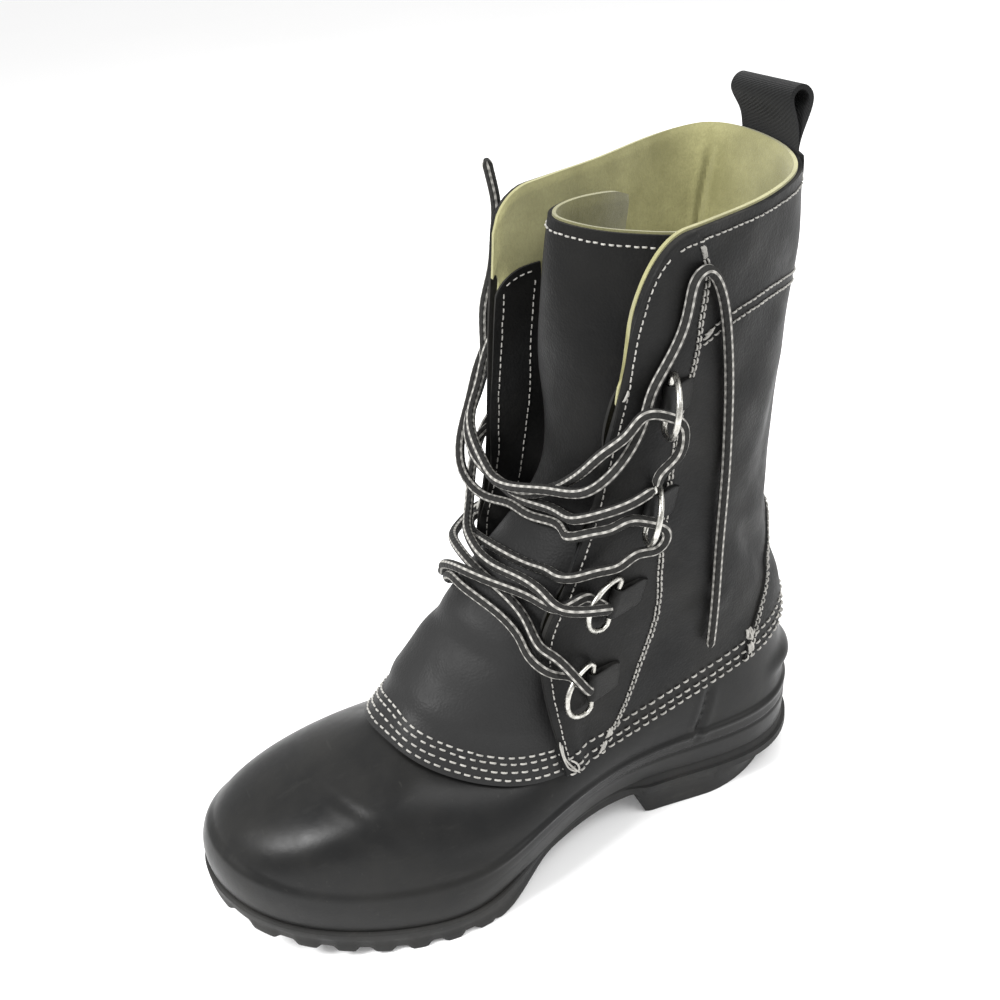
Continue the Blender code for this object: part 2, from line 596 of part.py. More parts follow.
def tube(name, path, diameter, sides, finish):
    """Closed tube along a closed path, as one ring of wire."""
    path = np.asarray(path, float)
    ahead = unit(np.roll(path, -1, axis=0) - np.roll(path, 1, axis=0))
    flat = unit(np.cross(path[1] - path[0], path[len(path) // 2] - path[0]))
    side = unit(np.cross(ahead, flat))
    angles = np.arange(sides) * 2 * math.pi / sides
    rings = (path[:, None] + diameter / 2 * (np.cos(angles)[None, :, None] * flat
             + np.sin(angles)[None, :, None] * side[:, None]))
    count = len(path)
    faces = []
    for i in range(count):
        for k in range(sides):
            i2, k2 = (i + 1) % count, (k + 1) % sides
            faces.append((i * sides + k, i2 * sides + k, i2 * sides + k2, i * sides + k2))
    return make_object(name, rings.reshape(-1, 3), faces, finish)


def d_ring_path(centre, up, reach_way):
    """Path of a D-ring: a straight bar through the centre along `up`, and a round bow."""
    half = RING_BAR / 2 - RING_WIRE / 2
    reach = RING_REACH - RING_WIRE / 2
    points = [centre + up * half * k for k in (-0.7, 0.0, 0.7)]
    for angle in np.linspace(90, -90, 9):
        a = math.radians(angle)
        points.append(centre + up * half * math.sin(a) + reach_way * reach * abs(math.cos(a)) ** 0.8)
    return points


def ring_tab(name, frame, tail, finish):
    """Leather tab folded round a ring's bar and sewn flat on the shaft behind it."""
    centre, forward, out, up, _ = frame
    bore = RING_WIRE / 2 + GAP
    outside = bore + TAB
    back = np.radians((160, 180, 200))
    fold = np.radians((240, 290, 340, 20, 70, 120))
    sides = np.array((-0.5, 0.5)) * TAB_WIDTH
    inner = [centre + forward * bore * math.cos(a) + out * bore * math.sin(a) for a in (*back, *fold)]
    outer = [tail[0] + tail[1] * (TAB_SEAT + thick) + forward * nose
             for thick, nose in ((2 * TAB, 0.0), (TAB, -0.6), (0.0, 0.0))]
    outer += [centre + forward * outside * math.cos(a) + out * outside * math.sin(a) for a in fold]

    def grid(profile):
        return np.array([[point + up * side for side in sides] for point in profile])

    return make_object(name, *walled(grid(outer), grid(inner), closed=True), finish)


def ring_spots():
    """Middle of each ring's bar with the ways forward, out and up, and the ring's reach."""
    spots = {}
    for side, number, u, height, swing in RINGS:
        point, out, up, forward = shaft_spot(u, height)
        centre = point + out * (TAB_SEAT + TAB + GAP + RING_WIRE / 2)
        turn = math.radians(swing)
        spots[side, number] = (centre, forward, out, up, forward * math.cos(turn) + out * math.sin(turn))
    return spots


def rings_and_tabs(steel, leather):
    """Four D-rings in their tabs on each side."""
    spots = ring_spots()
    for side, number, u, height, _ in RINGS:
        frame = spots[side, number]
        away = TAB_LENGTH / SHAFT_GIRTH * (1 if side == "out" else -1)
        tail = shaft_spot(u + away, height)
        ring_tab(f"ring_tab_{side}_{number}", frame, tail, leather)
        path = d_ring_path(frame[0], frame[3], frame[4])
        tube(f"lace_ring_{side}_{number}", path, RING_WIRE, 5, steel)


def offset_inside(outline, depth):
    """The outline's points moved inward along the bisector of their two sides."""
    points = np.array(outline, float)
    along = unit(np.roll(points, -1, axis=0) - np.roll(points, 1, axis=0))
    return points + depth * np.column_stack([-along[:, 1], along[:, 0]])


def pull_loop(finish):
    """Webbing loop sewn to the outside of the shaft's back, standing above the collar."""
    outline = np.array(LOOP_OUTLINE, float)
    eye = offset_inside(outline, STRAP)
    middle = (LOOP_OUTLINE[0][1] + LOOP_OUTLINE[-1][1]) / 2
    for row, rise, aside in ((0, 0.0, -0.2), (1, 1.2, -0.4), (-2, 1.2, 0.4), (-1, 0.0, 0.2)):
        eye[row] = (LOOP_SEWN + rise, middle + aside)
    rim = SHAFT_LEVELS["collar"][0]
    fold_way = unit(np.array(LOOP_FOLD_WAY))
    fold_out = np.cross(UP, fold_way)
    top = np.array([*LOOP_TOP, 0.0])
    stations = np.linspace(-0.5, 0.5, 5) * STRAP_WIDTH

    def grid(profile):
        rows = []
        for height, out_by in profile:
            row = []
            for s in stations:
                spot, out, _, _ = shaft_spot(LOOP_ROUND - s / SHAFT_GIRTH, rim)
                low = spot + unit(out * [1, 1, 0]) * out_by + UP * height
                high = top + fold_way * s + fold_out * out_by + UP * (rim + height)
                lift = float(smooth(height, 0.0, 20.0))
                row.append(low * (1 - lift) + high * lift)
            rows.append(row)
        return np.array(rows)

    return make_object("pull_loop", *walled(grid(outline), grid(eye), closed=True), finish)


def ring_pass(spot, places, climb):
    """Places round a ring's wire turned into points of the boot, the lace climbing forward."""
    centre, forward, out, up, _ = spot
    turn = math.radians(climb)
    ahead = forward * math.cos(turn) + up * math.sin(turn)
    above = up * math.cos(turn) - forward * math.sin(turn)
    return [centre + ahead * f + out * o + above * w for f, o, w in places]


def smooth_route(points, step):
    """Points of a smooth curve through the route's own points, closer together where it bends."""
    points = np.asarray(points, float)
    chord = np.sqrt(np.linalg.norm(np.diff(points, axis=0), axis=1))
    knots = np.concatenate([[0.0], np.cumsum(chord)])
    dense = cubic(knots, points, np.linspace(0, knots[-1], 3000))
    leg = np.diff(dense, axis=0)
    length = np.linalg.norm(leg, axis=1)
    turn = np.linalg.norm(np.diff(unit(leg), axis=0, append=unit(leg[-1:])), axis=1)
    travel = np.concatenate([[0.0], np.cumsum(length + turn * BEND_SPACING)])
    where = np.linspace(0, travel[-1], int(round(travel[-1] / step)) + 1)
    return np.column_stack([np.interp(where, travel, dense[:, k]) for k in range(3)])


def cord(name, points, diameter, sides, finish):
    """Round cord along the points, with filled ends."""
    curve = bpy.data.curves.new(name, "CURVE")
    curve.dimensions = "3D"
    curve.bevel_depth = diameter / 2 * MM
    curve.bevel_resolution = sides
    curve.use_fill_caps = True
    spline = curve.splines.new("POLY")
    spline.points.add(len(points) - 1)
    for place, point in zip(spline.points, points):
        place.co = (*((np.asarray(point) - ORIGIN) * MM), 1.0)
    curve.materials.append(finish)
    made = bpy.data.objects.new(name, curve)
    bpy.context.scene.collection.objects.link(made)
    return made


def lace_route(runs):
    """The lace through its runs, from ring to ring: over the tongue, through each ring and back."""
    spots = ring_spots()
    route = []
    for stop, places in runs:
        route += places
        if stop in RING_PASSES and (stop, places) != runs[-1]:
            side, number, climb, shape, step = RING_PASSES[stop]
            route += ring_pass(spots[side, number], shape, climb)[::step]
    return route


def lace(finish):
    """The crossings as one solid, and the two slack ends as cords."""
    pieces = (("lace_crossings", LACE_RUNS), ("lace_slack_near", SLACK_NEAR),
              ("lace_slack_far", SLACK_FAR))
    for name, runs in pieces:
        cord(name, smooth_route(lace_route(runs), LACE_STEP), LACE, 1, finish)


def clear_scene():
    """Remove whatever the file opened with."""
    for old in list(bpy.data.objects):
        bpy.data.objects.remove(old, do_unlink=True)


def main():
    """Build every piece of the boot."""
    clear_scene()
    rubber = material("rubber", (0.035, 0.036, 0.036), 0.45)
    leather = material("leather", (0.02, 0.021, 0.021), 0.6)
    felt = material("felt", (0.3, 0.3, 0.18), 0.95)
    outsole(rubber)
    rubber_shell(rubber)
    insole(felt)
    steel = material("ring_steel", (0.45, 0.42, 0.36), 0.3, 1.0)
    webbing = material("webbing", (0.02, 0.02, 0.02), 0.85)
    shaft(leather)
    tongue(leather)
    rings_and_tabs(steel, leather)
    pull_loop(webbing)
    lace(material("lace", (0.03, 0.03, 0.03), 0.8))


main()
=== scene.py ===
"""Looks of the lace-up pac boot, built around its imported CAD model.

Lengths in the tables are millimetres. The toe points to -Y, the outer side is +X and +Z is up.
ORIGIN, under the ball of the foot, is where the frame's own origin lies among the tables' points, and
placed() turns such points into the frame's metres. The tables come first, then the curves of the CAD
part, the fine surfaces, the materials, the pieces, the thread, and last the floor, lights and camera.
"""

import math

import bmesh
import bpy
import numpy as np
from mathutils import Matrix, Vector


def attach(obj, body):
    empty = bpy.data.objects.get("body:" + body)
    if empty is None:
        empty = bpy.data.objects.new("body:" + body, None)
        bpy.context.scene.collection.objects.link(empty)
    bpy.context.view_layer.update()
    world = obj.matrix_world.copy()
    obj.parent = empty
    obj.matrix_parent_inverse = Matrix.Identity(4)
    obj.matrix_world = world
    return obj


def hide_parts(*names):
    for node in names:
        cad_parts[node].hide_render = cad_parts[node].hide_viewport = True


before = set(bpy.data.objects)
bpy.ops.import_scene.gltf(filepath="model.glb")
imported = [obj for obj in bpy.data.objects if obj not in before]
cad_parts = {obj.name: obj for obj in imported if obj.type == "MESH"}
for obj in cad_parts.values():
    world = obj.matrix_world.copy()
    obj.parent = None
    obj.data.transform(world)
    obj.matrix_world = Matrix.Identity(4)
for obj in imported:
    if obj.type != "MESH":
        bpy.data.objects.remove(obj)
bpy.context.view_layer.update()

MM = 0.001
ORIGIN = (0.0, -38.0, 0.0)    # the frame's origin among the tables' points
UP = np.array([0.0, 0.0, 1.0])

# ---------------------------------------------------------------- driving sizes (millimetres)
GAP = 0.3                 # clearance between pieces that meet
SHELL_WALL = 3.0          # rubber with its bonded felt
FOXING_PROUD = 1.2        # the foxing band stands this far out of the shell
FOXING_HEIGHT = 21.0      # top of the foxing band above the sole's upper edge
LEATHER = 1.8             # leather alone, where it laps over the rubber
SHAFT_WALL = 4.0          # leather and felt of the shaft
TONGUE_WALL = 3.4         # leather and felt of the tongue
LAP = 12.0                # height of the stitched lap of leather over rubber
LAP_GAP = 0.65            # clearance between the lap and the rubber's curved rim

SOLE_LEDGE = 3.0          # the sole stands out past the shell by this much
TREAD_DEPTH = 3.0         # depth of the gaps between the lugs
LUG_PITCH = 15.0          # from one lug's front to the next along the foot
LUG_TOP = 8.5             # length of a lug's flat top along the foot
SCALLOP = 1.6             # lugs stand out past the gaps at the sole's edge
LUGS = 7
FIRST_LUG_Y = -33.0       # rear end of the row of lugs
WAIST_RAMP = 36.0         # the underside rises to the waist over this length behind the first lug
WAIST_INSET = 2.4         # the sole stands out less at the waist by this much
HEEL_TUCK = 9.0           # the heel block's rear corners run in under the foot by this much
BREAST_Y = 55.0           # front face of the heel block
WAIST_RISE = 12.0         # the waist's underside is this far off the floor
SPRING_START_Y = -68.0    # ahead of this the underside curves up
TOE_SPRING = 21.0         # to this height under the tip of the toe
HEEL_Y = 145.0            # the foot's rear end
TOE_Y = -144.0            # and its front end

# Sections round the foot, from the heel round the outer side to the toe and back on the inner
# side. Each is one meridian of the rubber shell: it leaves the sole edge, swells and rolls over
# to the lap line, where the leather begins.
FOOT_COLUMNS = ("edge_x", "edge_y", "lap_x", "lap_y", "lap_z", "lean", "rise", "roll", "drop")
FOOT_SECTIONS = {
    "heel_back": (0, 145, 0, 144, 77, 3, 20, 3, 18),
    "heel_corner_out": (28, 129, 25, 128, 74, 3, 20, 3, 18),
    "heel_out": (35, 92, 35, 92, 67, 3, 18, 2, 15),
    "waist_out": (33, 32, 38, 38, 55, 5, 16, 3, 12),
    "ball_out": (58.5, -42, 41, -14, 57, 4, 22, 12, 8),
    "toe_out": (50.5, -87, 31, -42, 70, 4, 32, 24, 5),
    "tip_out": (23.5, -133.5, 11, -56, 78.5, 5, 34, 46, 14),
    "tip_in": (-16, -142, -12, -58.5, 76, 5, 34, 44, 14),
    "toe_in": (-46, -114, -34, -44, 65, 4, 28, 19, 10),
    "ball_in": (-50, -62, -40, -13, 57, 4, 22, 12, 8),
    "waist_in": (-33, 25, -38, 38, 55, 4, 18, 3, 12),
    "heel_in": (-34, 92, -34, 92, 67, 3, 18, 2, 15),
    "heel_corner_in": (-27, 129, -25, 128, 74, 3, 20, 3, 18),
}

# Height of the sole's upper edge along the foot.
SOLE_UPPER = ((-150, 33), (-132, 26.5), (-110, 19), (-88, 14), (-60, 11.5), (-38, 11.5), (-20, 14.5),
              (0, 17.5), (25, 19), (60, 21), (100, 21), (150, 21))

# Level sections of the open shaft: height, then x, y of the outer front edge, outer side, outer
# back corner, back, inner back corner (two places), inner side and inner front edge.
SHAFT_ROUND = (0.0, 0.15, 0.39, 0.5, 0.59, 0.64, 0.81, 1.0)
SHAFT_LEVELS = {
    "ankle": (108, (40, 9), (39, 55), (26, 124), (0, 143), (-22, 129.6), (-30, 115), (-38, 58), (-42, 14)),
    "shin_low": (150, (40, 24), (41, 67), (25, 124), (-2, 140), (-24, 128.6), (-32, 116.5),
                 (-42, 68), (-48, 21)),
    "shin_high": (215, (42, 49.5), (44, 83), (19, 140), (-10, 153), (-41, 148.5), (-52, 139),
                  (-53, 88), (-52, 34)),
    "collar": (288, (54, 60), (48, 92), (14.5, 152.5), (-19, 165.5), (-57, 166.2), (-69.5, 158),
               (-62, 104), (-46, 43)),
}
SHAFT_FRONT_TURN = 0.256  # turn of the outer front edge on the lap line
SHAFT_FRONT_TURN_IN = 0.765    # and of the inner one
SHAFT_RISE = 222.0        # from the lap line to the collar
SHAFT_KNOTS = (0, LAP, 44, 88, 150, SHAFT_RISE)    # rise of the lap line, the lap and each level
SHAFT_GIRTH = 300.0       # round the shaft from one front edge to the other
STRAP_WIDTH = 40.0        # webbing of the pull loop
STRAP = 2.2               # its thickness
LOOP_ROUND = 0.515        # place of the pull loop round the shaft
LOOP_TOP = (-37.0, 173.0)  # its fold's middle, seen from above
LOOP_FOLD_WAY = (0.99, 0.1, 0.0)    # the way along its fold
# Outline of the folded strap above the collar, height and way out, from its inner sewn end
# round the fold.
LOOP_OUTLINE = ((0.6, -4.3), (5, -4.6), (9, -6.0), (15, -8.2), (19, -8.2), (22.7, -5.2), (23.3, -1.2),
                (20, 3.2), (13, 5.4), (7, 4.4), (4, 3.2), (0.6, 2.2))
RING_WIRE = 2.4           # D-ring wire diameter
RING_BAR = 28.0           # straight side of a D-ring
RING_REACH = 18.0         # depth of a D-ring
TAB_WIDTH = 15.0          # of a ring tab, up the shaft
TAB_LENGTH = 14.0         # and back from the ring's bar
TAB = 1.5                 # leather of a ring tab
TAB_SEAT = 0.7            # a tab lies this far off the curved shaft
LACE = 4.5                # lace diameter
BEND_SPACING = 12.0       # its cross-sections come closer on a bend, by millimetres a radian
CORNER_OUT = (34, 42)     # rounding of the shaft's outer top corner, along and down
CORNER_IN = (16, 18)      # and of its inner one
TUCK_LIFT = 3.0           # the shaft's lower front corners ride over the vamp by this much

TONGUE_TUCK = 0.012       # the tongue runs on under the shaft's front edges, in turns
TONGUE_LENGTH = 230.0     # from the lap line to the tongue's top
TONGUE_KNOTS = (0, LAP, 30, 68, 106, 160, TONGUE_LENGTH)    # rise of the lap line, lap and sections

# Sections of the vamp and tongue above the lap, outer face: x, y, z of the outer end, outer
# middle, centre, inner middle, the inner fold and the gusset's inner end.
TONGUE_ACROSS = (0.0, 0.22, 0.42, 0.62, 0.8, 1.0)
TONGUE_SECTIONS = {
    "instep": ((34, 20, 84), (29, -16, 92), (0, -32, 103), (-24, -27, 98), (-35, -6, 88), (-35, 18, 84)),
    "bend": ((33, 46, 124), (27, 14, 126), (2, -3, 134), (-22, 1, 131), (-36, 14, 124), (-35, 42, 122)),
    "shin": ((34, 62, 160), (26, 40, 162), (6, 30, 165), (-15, 33, 165), (-28, 48, 162), (-37, 68, 158)),
    "panel": ((37, 78, 212), (25, 55, 214), (4, 43, 218), (-18, 46, 218), (-29, 64, 214), (-43, 86, 208)),
    "top": ((43, 90, 283), (26, 70, 284), (6, 53, 286), (-14, 56, 287), (-24, 80, 285), (-50, 104, 272)),
}

# D-rings: side, number, place round the shaft, height, and how far the ring is swung out from
# the leather in degrees.
RINGS = (
    ("out", 1, 0.074, 96, 24), ("out", 2, 0.084, 136, 26),
    ("out", 3, 0.100, 177, 74), ("out", 4, 0.090, 224, 76),
    ("in", 1, 0.925, 101, 24), ("in", 2, 0.918, 134, 24),
    ("in", 3, 0.920, 177, 24), ("in", 4, 0.920, 222, 22),
)

# The lace. A pass takes it through a ring and round the wire: places from the middle of the bar,
# forward, out and up. A flat ring is threaded from below, a swung one from its front.
FLAT_PASS = ((15, 0.1, -0.5), (10.5, 0.2, -1), (7.0, 3.2, -0.8), (7.8, 7.6, 0.2), (12.5, 10.9, 1))
SWUNG_PASS = ((13, 7.4, -1), (4, 8.2, -1.5), (-3, 8.4, -4), (-5, 8.4, -9), (-1.5, 8.2, -14.5),
              (6, 7.6, -16.5))
DROP_PASS = ((13, 7.4, -1), (4, 8.2, -2), (-2.5, 8.4, -6), (-4.5, 8.4, -13), (-3, 8, -21),
             (2.5, 7.6, -28))

# How the lace turns in each ring: side, number, climb of the lace in degrees, pass, direction.
RING_PASSES = {
    "near 3": ("out", 3, 0, SWUNG_PASS, 1),
    "far 2": ("in", 2, 0, FLAT_PASS, 1),
    "near 1": ("out", 1, 38, FLAT_PASS, -1),
    "far 1": ("in", 1, 10, FLAT_PASS, 1),
    "near 2": ("out", 2, 12, FLAT_PASS, 1),
    "far 3": ("in", 3, 0, FLAT_PASS, -1),
    "far 4": ("in", 4, 0, FLAT_PASS, -1),
    "near 4": ("out", 4, 0, DROP_PASS, -1),
}

# Runs of the lace across the tongue, each with the ring that it comes to.
LACE_RUNS = (
    ("near 3", ((-66.4, 40, 215), (-66, 33, 203), (-62.5, 26, 190), (-57, 18, 177),
                (-47, 13.5, 164.5), (-30, 17, 158.5), (-12, 22.5, 162), (6, 25, 164.5),
                (20, 30.5, 166.5), (30, 30, 168), (37, 28.7, 170), (42.5, 30.5, 172.5),
                (46.5, 36, 174.5), (50.5, 42.5, 176.5))),
    ("far 2", ((50.5, 44, 158), (47.5, 35.5, 156.5), (44.5, 27, 155), (39.5, 22, 154),
               (32, 20.5, 153), (21, 16.8, 151),
               (11, 11.5, 152), (-1, 8.5, 151), (-12, 8, 148), (-28, 8.5, 143), (-41, 11, 139.5),
               (-50, 16, 137.5))),
    ("near 1", ((-57, 14, 133.5), (-50, 7, 134), (-40, 2, 137), (-26, -1, 141), (-12, -2, 143.5),
                (3, -0.5, 143), (17, 4.5, 138.5), (28, 8.2, 132.3), (35.5, 8.6, 127.8), (41.5, 9.6, 123.8),
                (46.6, 14.5, 119))),
    ("far 1", ((45, 12.5, 111.5), (42.8, 7.6, 115.5), (37, 5, 119.5), (30, 4.6, 123.8),
               (22, 0.8, 131), (11, -5, 136),
               (0, -8.5, 137.5), (-11, -9, 135.5), (-24, -8, 127), (-36, -3, 117), (-45, 5, 110))),
    ("near 2", ((-50, -1, 112), (-38, -6, 122), (-24, -8.5, 134), (-9, -8, 142), (4, -6, 146),
                (14, 0, 145), (24, 7.5, 143.5), (33, 12.4, 142.9), (40, 15.2, 142.4), (44.6, 20.1, 142.4))),
    ("far 3", ((49.5, 18.5, 145), (39, 14.3, 148.2), (24, 9.5, 149.5), (11, 4, 149.5), (1, 1.5, 150.5),
               (-10, 2, 150), (-25, 5, 148.5), (-41, 12, 149.5), (-53, 18, 154), (-61, 24, 162))),
    ("near 4", ((-53.5, 23.5, 174), (-47, 19.5, 171.5), (-30, 21, 168.5), (-11, 22.5, 169),
                (5, 24.5, 171.5), (19, 29.5, 173.5), (30, 30.7, 175.5), (37.5, 31.2, 177.8),
                (43.5, 34, 180.5), (48.8, 41, 183.5), (53, 50.5, 187), (54.5, 59.5, 191))),
)

# The slack ends of the lace, from the crossings on.
SLACK_NEAR = (
    ("near 4", ((54.6, 60.6, 192),)),
    ("far end", ((52, 51.5, 217), (47.3, 43.5, 209.5), (40, 38.3, 200.5), (30, 36, 191.5), (20, 32, 183.5),
                 (9, 24.5, 177.5), (-5, 20.5, 174.5), (-18, 19, 173.5), (-32, 17, 175.5),
                 (-45, 18, 180.5), (-55, 23, 187), (-59.5, 31, 197.5), (-60.5, 35, 208), (-61, 37, 222),
                 (-60.5, 39, 236), (-60, 44, 250), (-59.5, 47, 264), (-58.5, 49, 278),
                 (-56, 47.5, 290), (-52, 45, 300))),
)
SLACK_FAR = (
    ("far 4", ((-66.4, 40.9, 216.2),)),
    ("near end", ((-56, 34, 212), (-55.5, 30, 202), (-53, 24.5, 193), (-46, 20, 188), (-34, 17, 184.5),
                  (-20, 15.5, 181), (-5, 15, 180), (9, 19.5, 182), (22, 27.2, 185), (31, 31.2, 187),
                  (39, 35.2, 189.5), (45.5, 40, 194.5), (48.3, 47.5, 201.5), (48.5, 55.5, 210.5),
                  (48.6, 60.5, 220), (49.2, 64, 230), (49.9, 70.3, 240), (50.2, 77.5, 252),
                  (51.2, 80.5, 263),
                  (51.5, 83, 270.5), (51.3, 87, 273), (50.3, 91, 270.5), (49, 94.5, 263.5),
                  (47, 97.5, 251), (45, 99.3, 225), (43.8, 98.8, 200), (43, 97.5, 178),
                  (41.8, 94.5, 145), (41.2, 91.8, 115), (40.6, 89, 92))),
)


# ---------------------------------------------------------------- sizes of the looks (millimetres)
FOXING_LINE = 11.5        # height of the groove along the foxing band
FOXING_LINE_DEPTH = 0.7
HEEL_BUMP = 3.6           # the ledge on the back of the heel stands out by this much
HEEL_BUMP_Z = 54.0        # at this height
HEEL_GROOVE = 3.6         # shadow line between the foxing and the heel block
HEEL_CUT = 2.2            # depth of the shallow cuts in the heel
HEEL_CUT_PITCH = 16.0
LUG_FLANK = 2.8           # run of a lug's rounded side
LUG_EDGE = 0.6            # share of the tread's depth at the sole's edge
SPINE_CUT = 1.6           # depth of the channel along the forefoot
SOLE_SPACING = 0.8        # between the sole's sections along the foot
SOLE_ACROSS = 49          # and the points across its underside
INSOLE_SPACING = 2.5
INSOLE_ACROSS = 17
INSOLE_GAP = 1.0          # between the insole and the shell's wall
VAMP_PUFF = 2.2           # the vamp leather swells above its stitched band
TONGUE_GIRTH = 150.0      # rough width of the tongue along its fold
TONGUE_LEATHER = 1.6      # the tongue's leather alone
FACING = 1.1              # thickness of the leather facings
COUNTER = 0.9             # thickness of the counter patch
TAB_FINE = 1.1            # leather of a ring tab as it is seen
SUNK = 0.12               # facings and patches are sunk into the leather by this much
SEAM = 0.05               # gap between the leather and its felt
FELT_PUFF = 0.3           # the felt swells inward by this much
FELT_ROUND = 0.9          # its edges are rounded by this much
RIM_ROUND = (0.985, 1.0)  # its top edge between these shares of its height
RIM_LIP = 0.9             # it stands above the leather's top edge by this much
RIM_RISE = (0.96, 1.0)    # rising between these shares of its height
CORNER_LIP = 5.5          # it stands this far ahead of the outer front corner
FELT_START = 1.5          # it begins this far above the lap
FELT_START_FRONT = 22.0   # and this much further up at the shaft's front corners
FELT_INSET = 3.6          # lower down it stops short of the leather's front edges
FELT_FREE = (188.0, 202.0)    # between these heights it comes forward
TONGUE_FELT_START = 2.5   # the tongue's felt begins this far above the lap
STRIP_EDGE = 0.08         # a facing's rounded long edges, as a share of its width
STRIP_END = 0.006         # and its rounded ends, as a share of its length
COUNTER_ROUND = 0.03      # the counter patch's rounded edges, as a share of its height
LACE_FINE = 2.4           # spacing of the lace's fine cross-sections
LACE_SIDES = 16
RING_SIDES = 14
WEAVE = 1.3               # width of a webbing thread
STRAP_LENGTH = 64.0       # the strap's length, roughly, for its weave
THREAD_SIDES = 6
SHELL_GRID = (381, 101)   # rows round or across and rows up of the fine surfaces
SHAFT_GRID = (321, 261)
TONGUE_GRID = (221, 261)
SHAFT_LAYER_GRID = (201, 151)    # and of the leather and felt that are made from them
TONGUE_LAYER_GRID = (141, 171)
FACING_GRID = (14, 150)
LINING_GRID = (14, 110)
COUNTER_GRID = (121, 34)
STRAP_GRID = (66, 25)     # rows along the strap and across it
WELD = 0.00002            # points closer than this become one (metres)
SHARP_ANGLE = math.radians(42)    # edges sharper than this stay sharp

# The insole's edge: way out from the shell's inner face, and height.
INSOLE_EDGE = ((0.0, 0.0), (0.0, 1.2), (0.0, 3.6), (-0.5, 4.6), (-1.4, 5.0))

# Places of a tab's flat back and of its fold round the ring's bar, in degrees from the way ahead.
TAB_BACK = tuple(range(158, 203, 11))
TAB_FOLD = (225, 245, 268, 292, 316, 340, 4, 28, 52, 76, 100, 122)
# Outline of a tab's rear end: height over its seat and way ahead.
TAB_END = ((2 * TAB_FINE, 0.3), (2 * TAB_FINE - 0.5, -0.4), (TAB_FINE, -0.7), (0.3, -0.4), (0.0, 0.3))
# Its sections across: place as a share of its width, and share of its thickness there.
TAB_ACROSS = ((-0.46, 0.35), (-0.44, 0.75), (-0.38, 1), (-0.2, 1), (0.0, 1), (0.2, 1), (0.38, 1),
              (0.44, 0.75), (0.46, 0.35))

# Long low waves: height, wave length along, wave length up, phase.
SHAFT_WAVES = ((0.5, 130, 90, 0.4), (0.35, -75, 120, 2.0), (0.25, 60, 55, 4.1), (0.15, -38, 44, 1.2))
TONGUE_WAVES = ((0.5, 110, 80, 1.0), (0.3, -60, 70, 3.0), (0.15, 34, 46, 0.3))

# Folds and creases: the points of a line, with depth and width. On the leather and felt the points
# are millimetres round and up, over the rubber vamp (x, y) and on the rubber's outer side (y, z).
SHAFT_FOLDS = (
    (((98, 86), (108, 72), (118, 58), (124, 44)), 1.0, 5.0),
    (((64, 62), (78, 56), (92, 58)), 0.7, 5.0),
    (((150, 96), (135, 80), (128, 66)), 0.8, 6.0),
    (((200, 90), (186, 74), (176, 60)), 1.0, 6.0),
    (((236, 70), (222, 60), (206, 56)), 0.8, 5.0),
    (((120, 150), (116, 120), (120, 96)), 0.5, 8.0),
)
TONGUE_FOLDS = (
    (((20, 52), (50, 46), (84, 48), (108, 56)), 0.9, 5.0),
    (((30, 74), (60, 66), (90, 70)), 0.8, 6.0),
    (((28, 96), (48, 110), (52, 134)), 0.6, 7.0),
)
FELT_FOLDS = (
    (((186, 222), (187.5, 213), (189.5, 205), (191.3, 197), (193, 188), (193.7, 176), (194, 140)),
     1.5, 2.3),
    (((262, 222), (258, 205), (250, 180), (246, 150)), 0.5, 5.0),
)
VAMP_CREASES = (
    (((-36, -90), (-12, -94), (13, -90), (32, -82), (50, -66), (58, -42)), 0.22, 1.8),
)
SIDE_CREASES = (
    (((92, 68), (88, 55), (83, 42), (80, 33)), 1.2, 1.7),
    (((60, 44), (20, 34), (-20, 36), (-60, 44)), 0.25, 3.0),
)

LOOP_BLEND = 20.0         # height over which the pull loop turns from the shaft's way to its fold's
# The pull loop's outer end, sewn down below the collar: height and way out.
LOOP_SEWN_END = ((-2, 2.4), (-5.5, 2.5), (-9, 2.5))

# Edges of the facings and of the counter patch: height, place round the shaft.
FACING_FRONT_EDGE = ((0, 0.001), (300, 0.001))
FACING_REAR = ((0, 0.092), (8, 0.118), (16, 0.145), (33, 0.168), (61, 0.173), (87, 0.157), (112, 0.146),
               (138, 0.136), (158, 0.136), (171, 0.144), (189, 0.150), (203, 0.155), (216, 0.140),
               (222, 0.120))
COUNTER_EDGE = ((0.8, 0.343), (15, 0.36), (30, 0.38), (48, 0.41), (64, 0.445), (74, 0.48), (76, 0.5))
# The black facings inside the felt, which reach on past their stitches as painted shadow: their front and
# rear edges.
INSIDE_FRONT = ((20, 0.004), (190, 0.004))
INSIDE_REAR = ((10, 0.13), (60, 0.13), (110, 0.11), (150, 0.09), (190, 0.077))
# Heights that the facings lie between, inside and outside.
INSIDE_BOUNDS = (14.0, 187.0)
FACING_BOUNDS = (1.0, SHAFT_RISE)

# Rows of stitches, as (place round the shaft, height).
FACING_FRONT = ((0.012, 6), (0.012, 40), (0.012, 80), (0.012, 120), (0.012, 160), (0.013, 190),
                (0.017, 206), (0.035, 216), (0.07, 218))
BAND = ((0.152, 177), (0.19, 180), (0.255, 182.5), (0.31, 182.5), (0.38, 180), (0.5, 176), (0.62, 180),
        (0.7, 182), (0.8, 181), (0.848, 178))
RIM_ROW = tuple((u, 217.5) for u in np.linspace(0.085, 0.915, 41))
INSIDE_ROWS = (((0.018, 32), (0.018, 100), (0.018, 182)), ((0.069, 32), (0.069, 100), (0.069, 180)),
               ((0.02, 184), (0.067, 184)))
# How far the double rows lie from their edge or line.
FACING_ROWS = (1.6, 3.4)
COUNTER_ROWS = (1.6, 3.6)
BAND_ROWS = (2.0, -2.0)
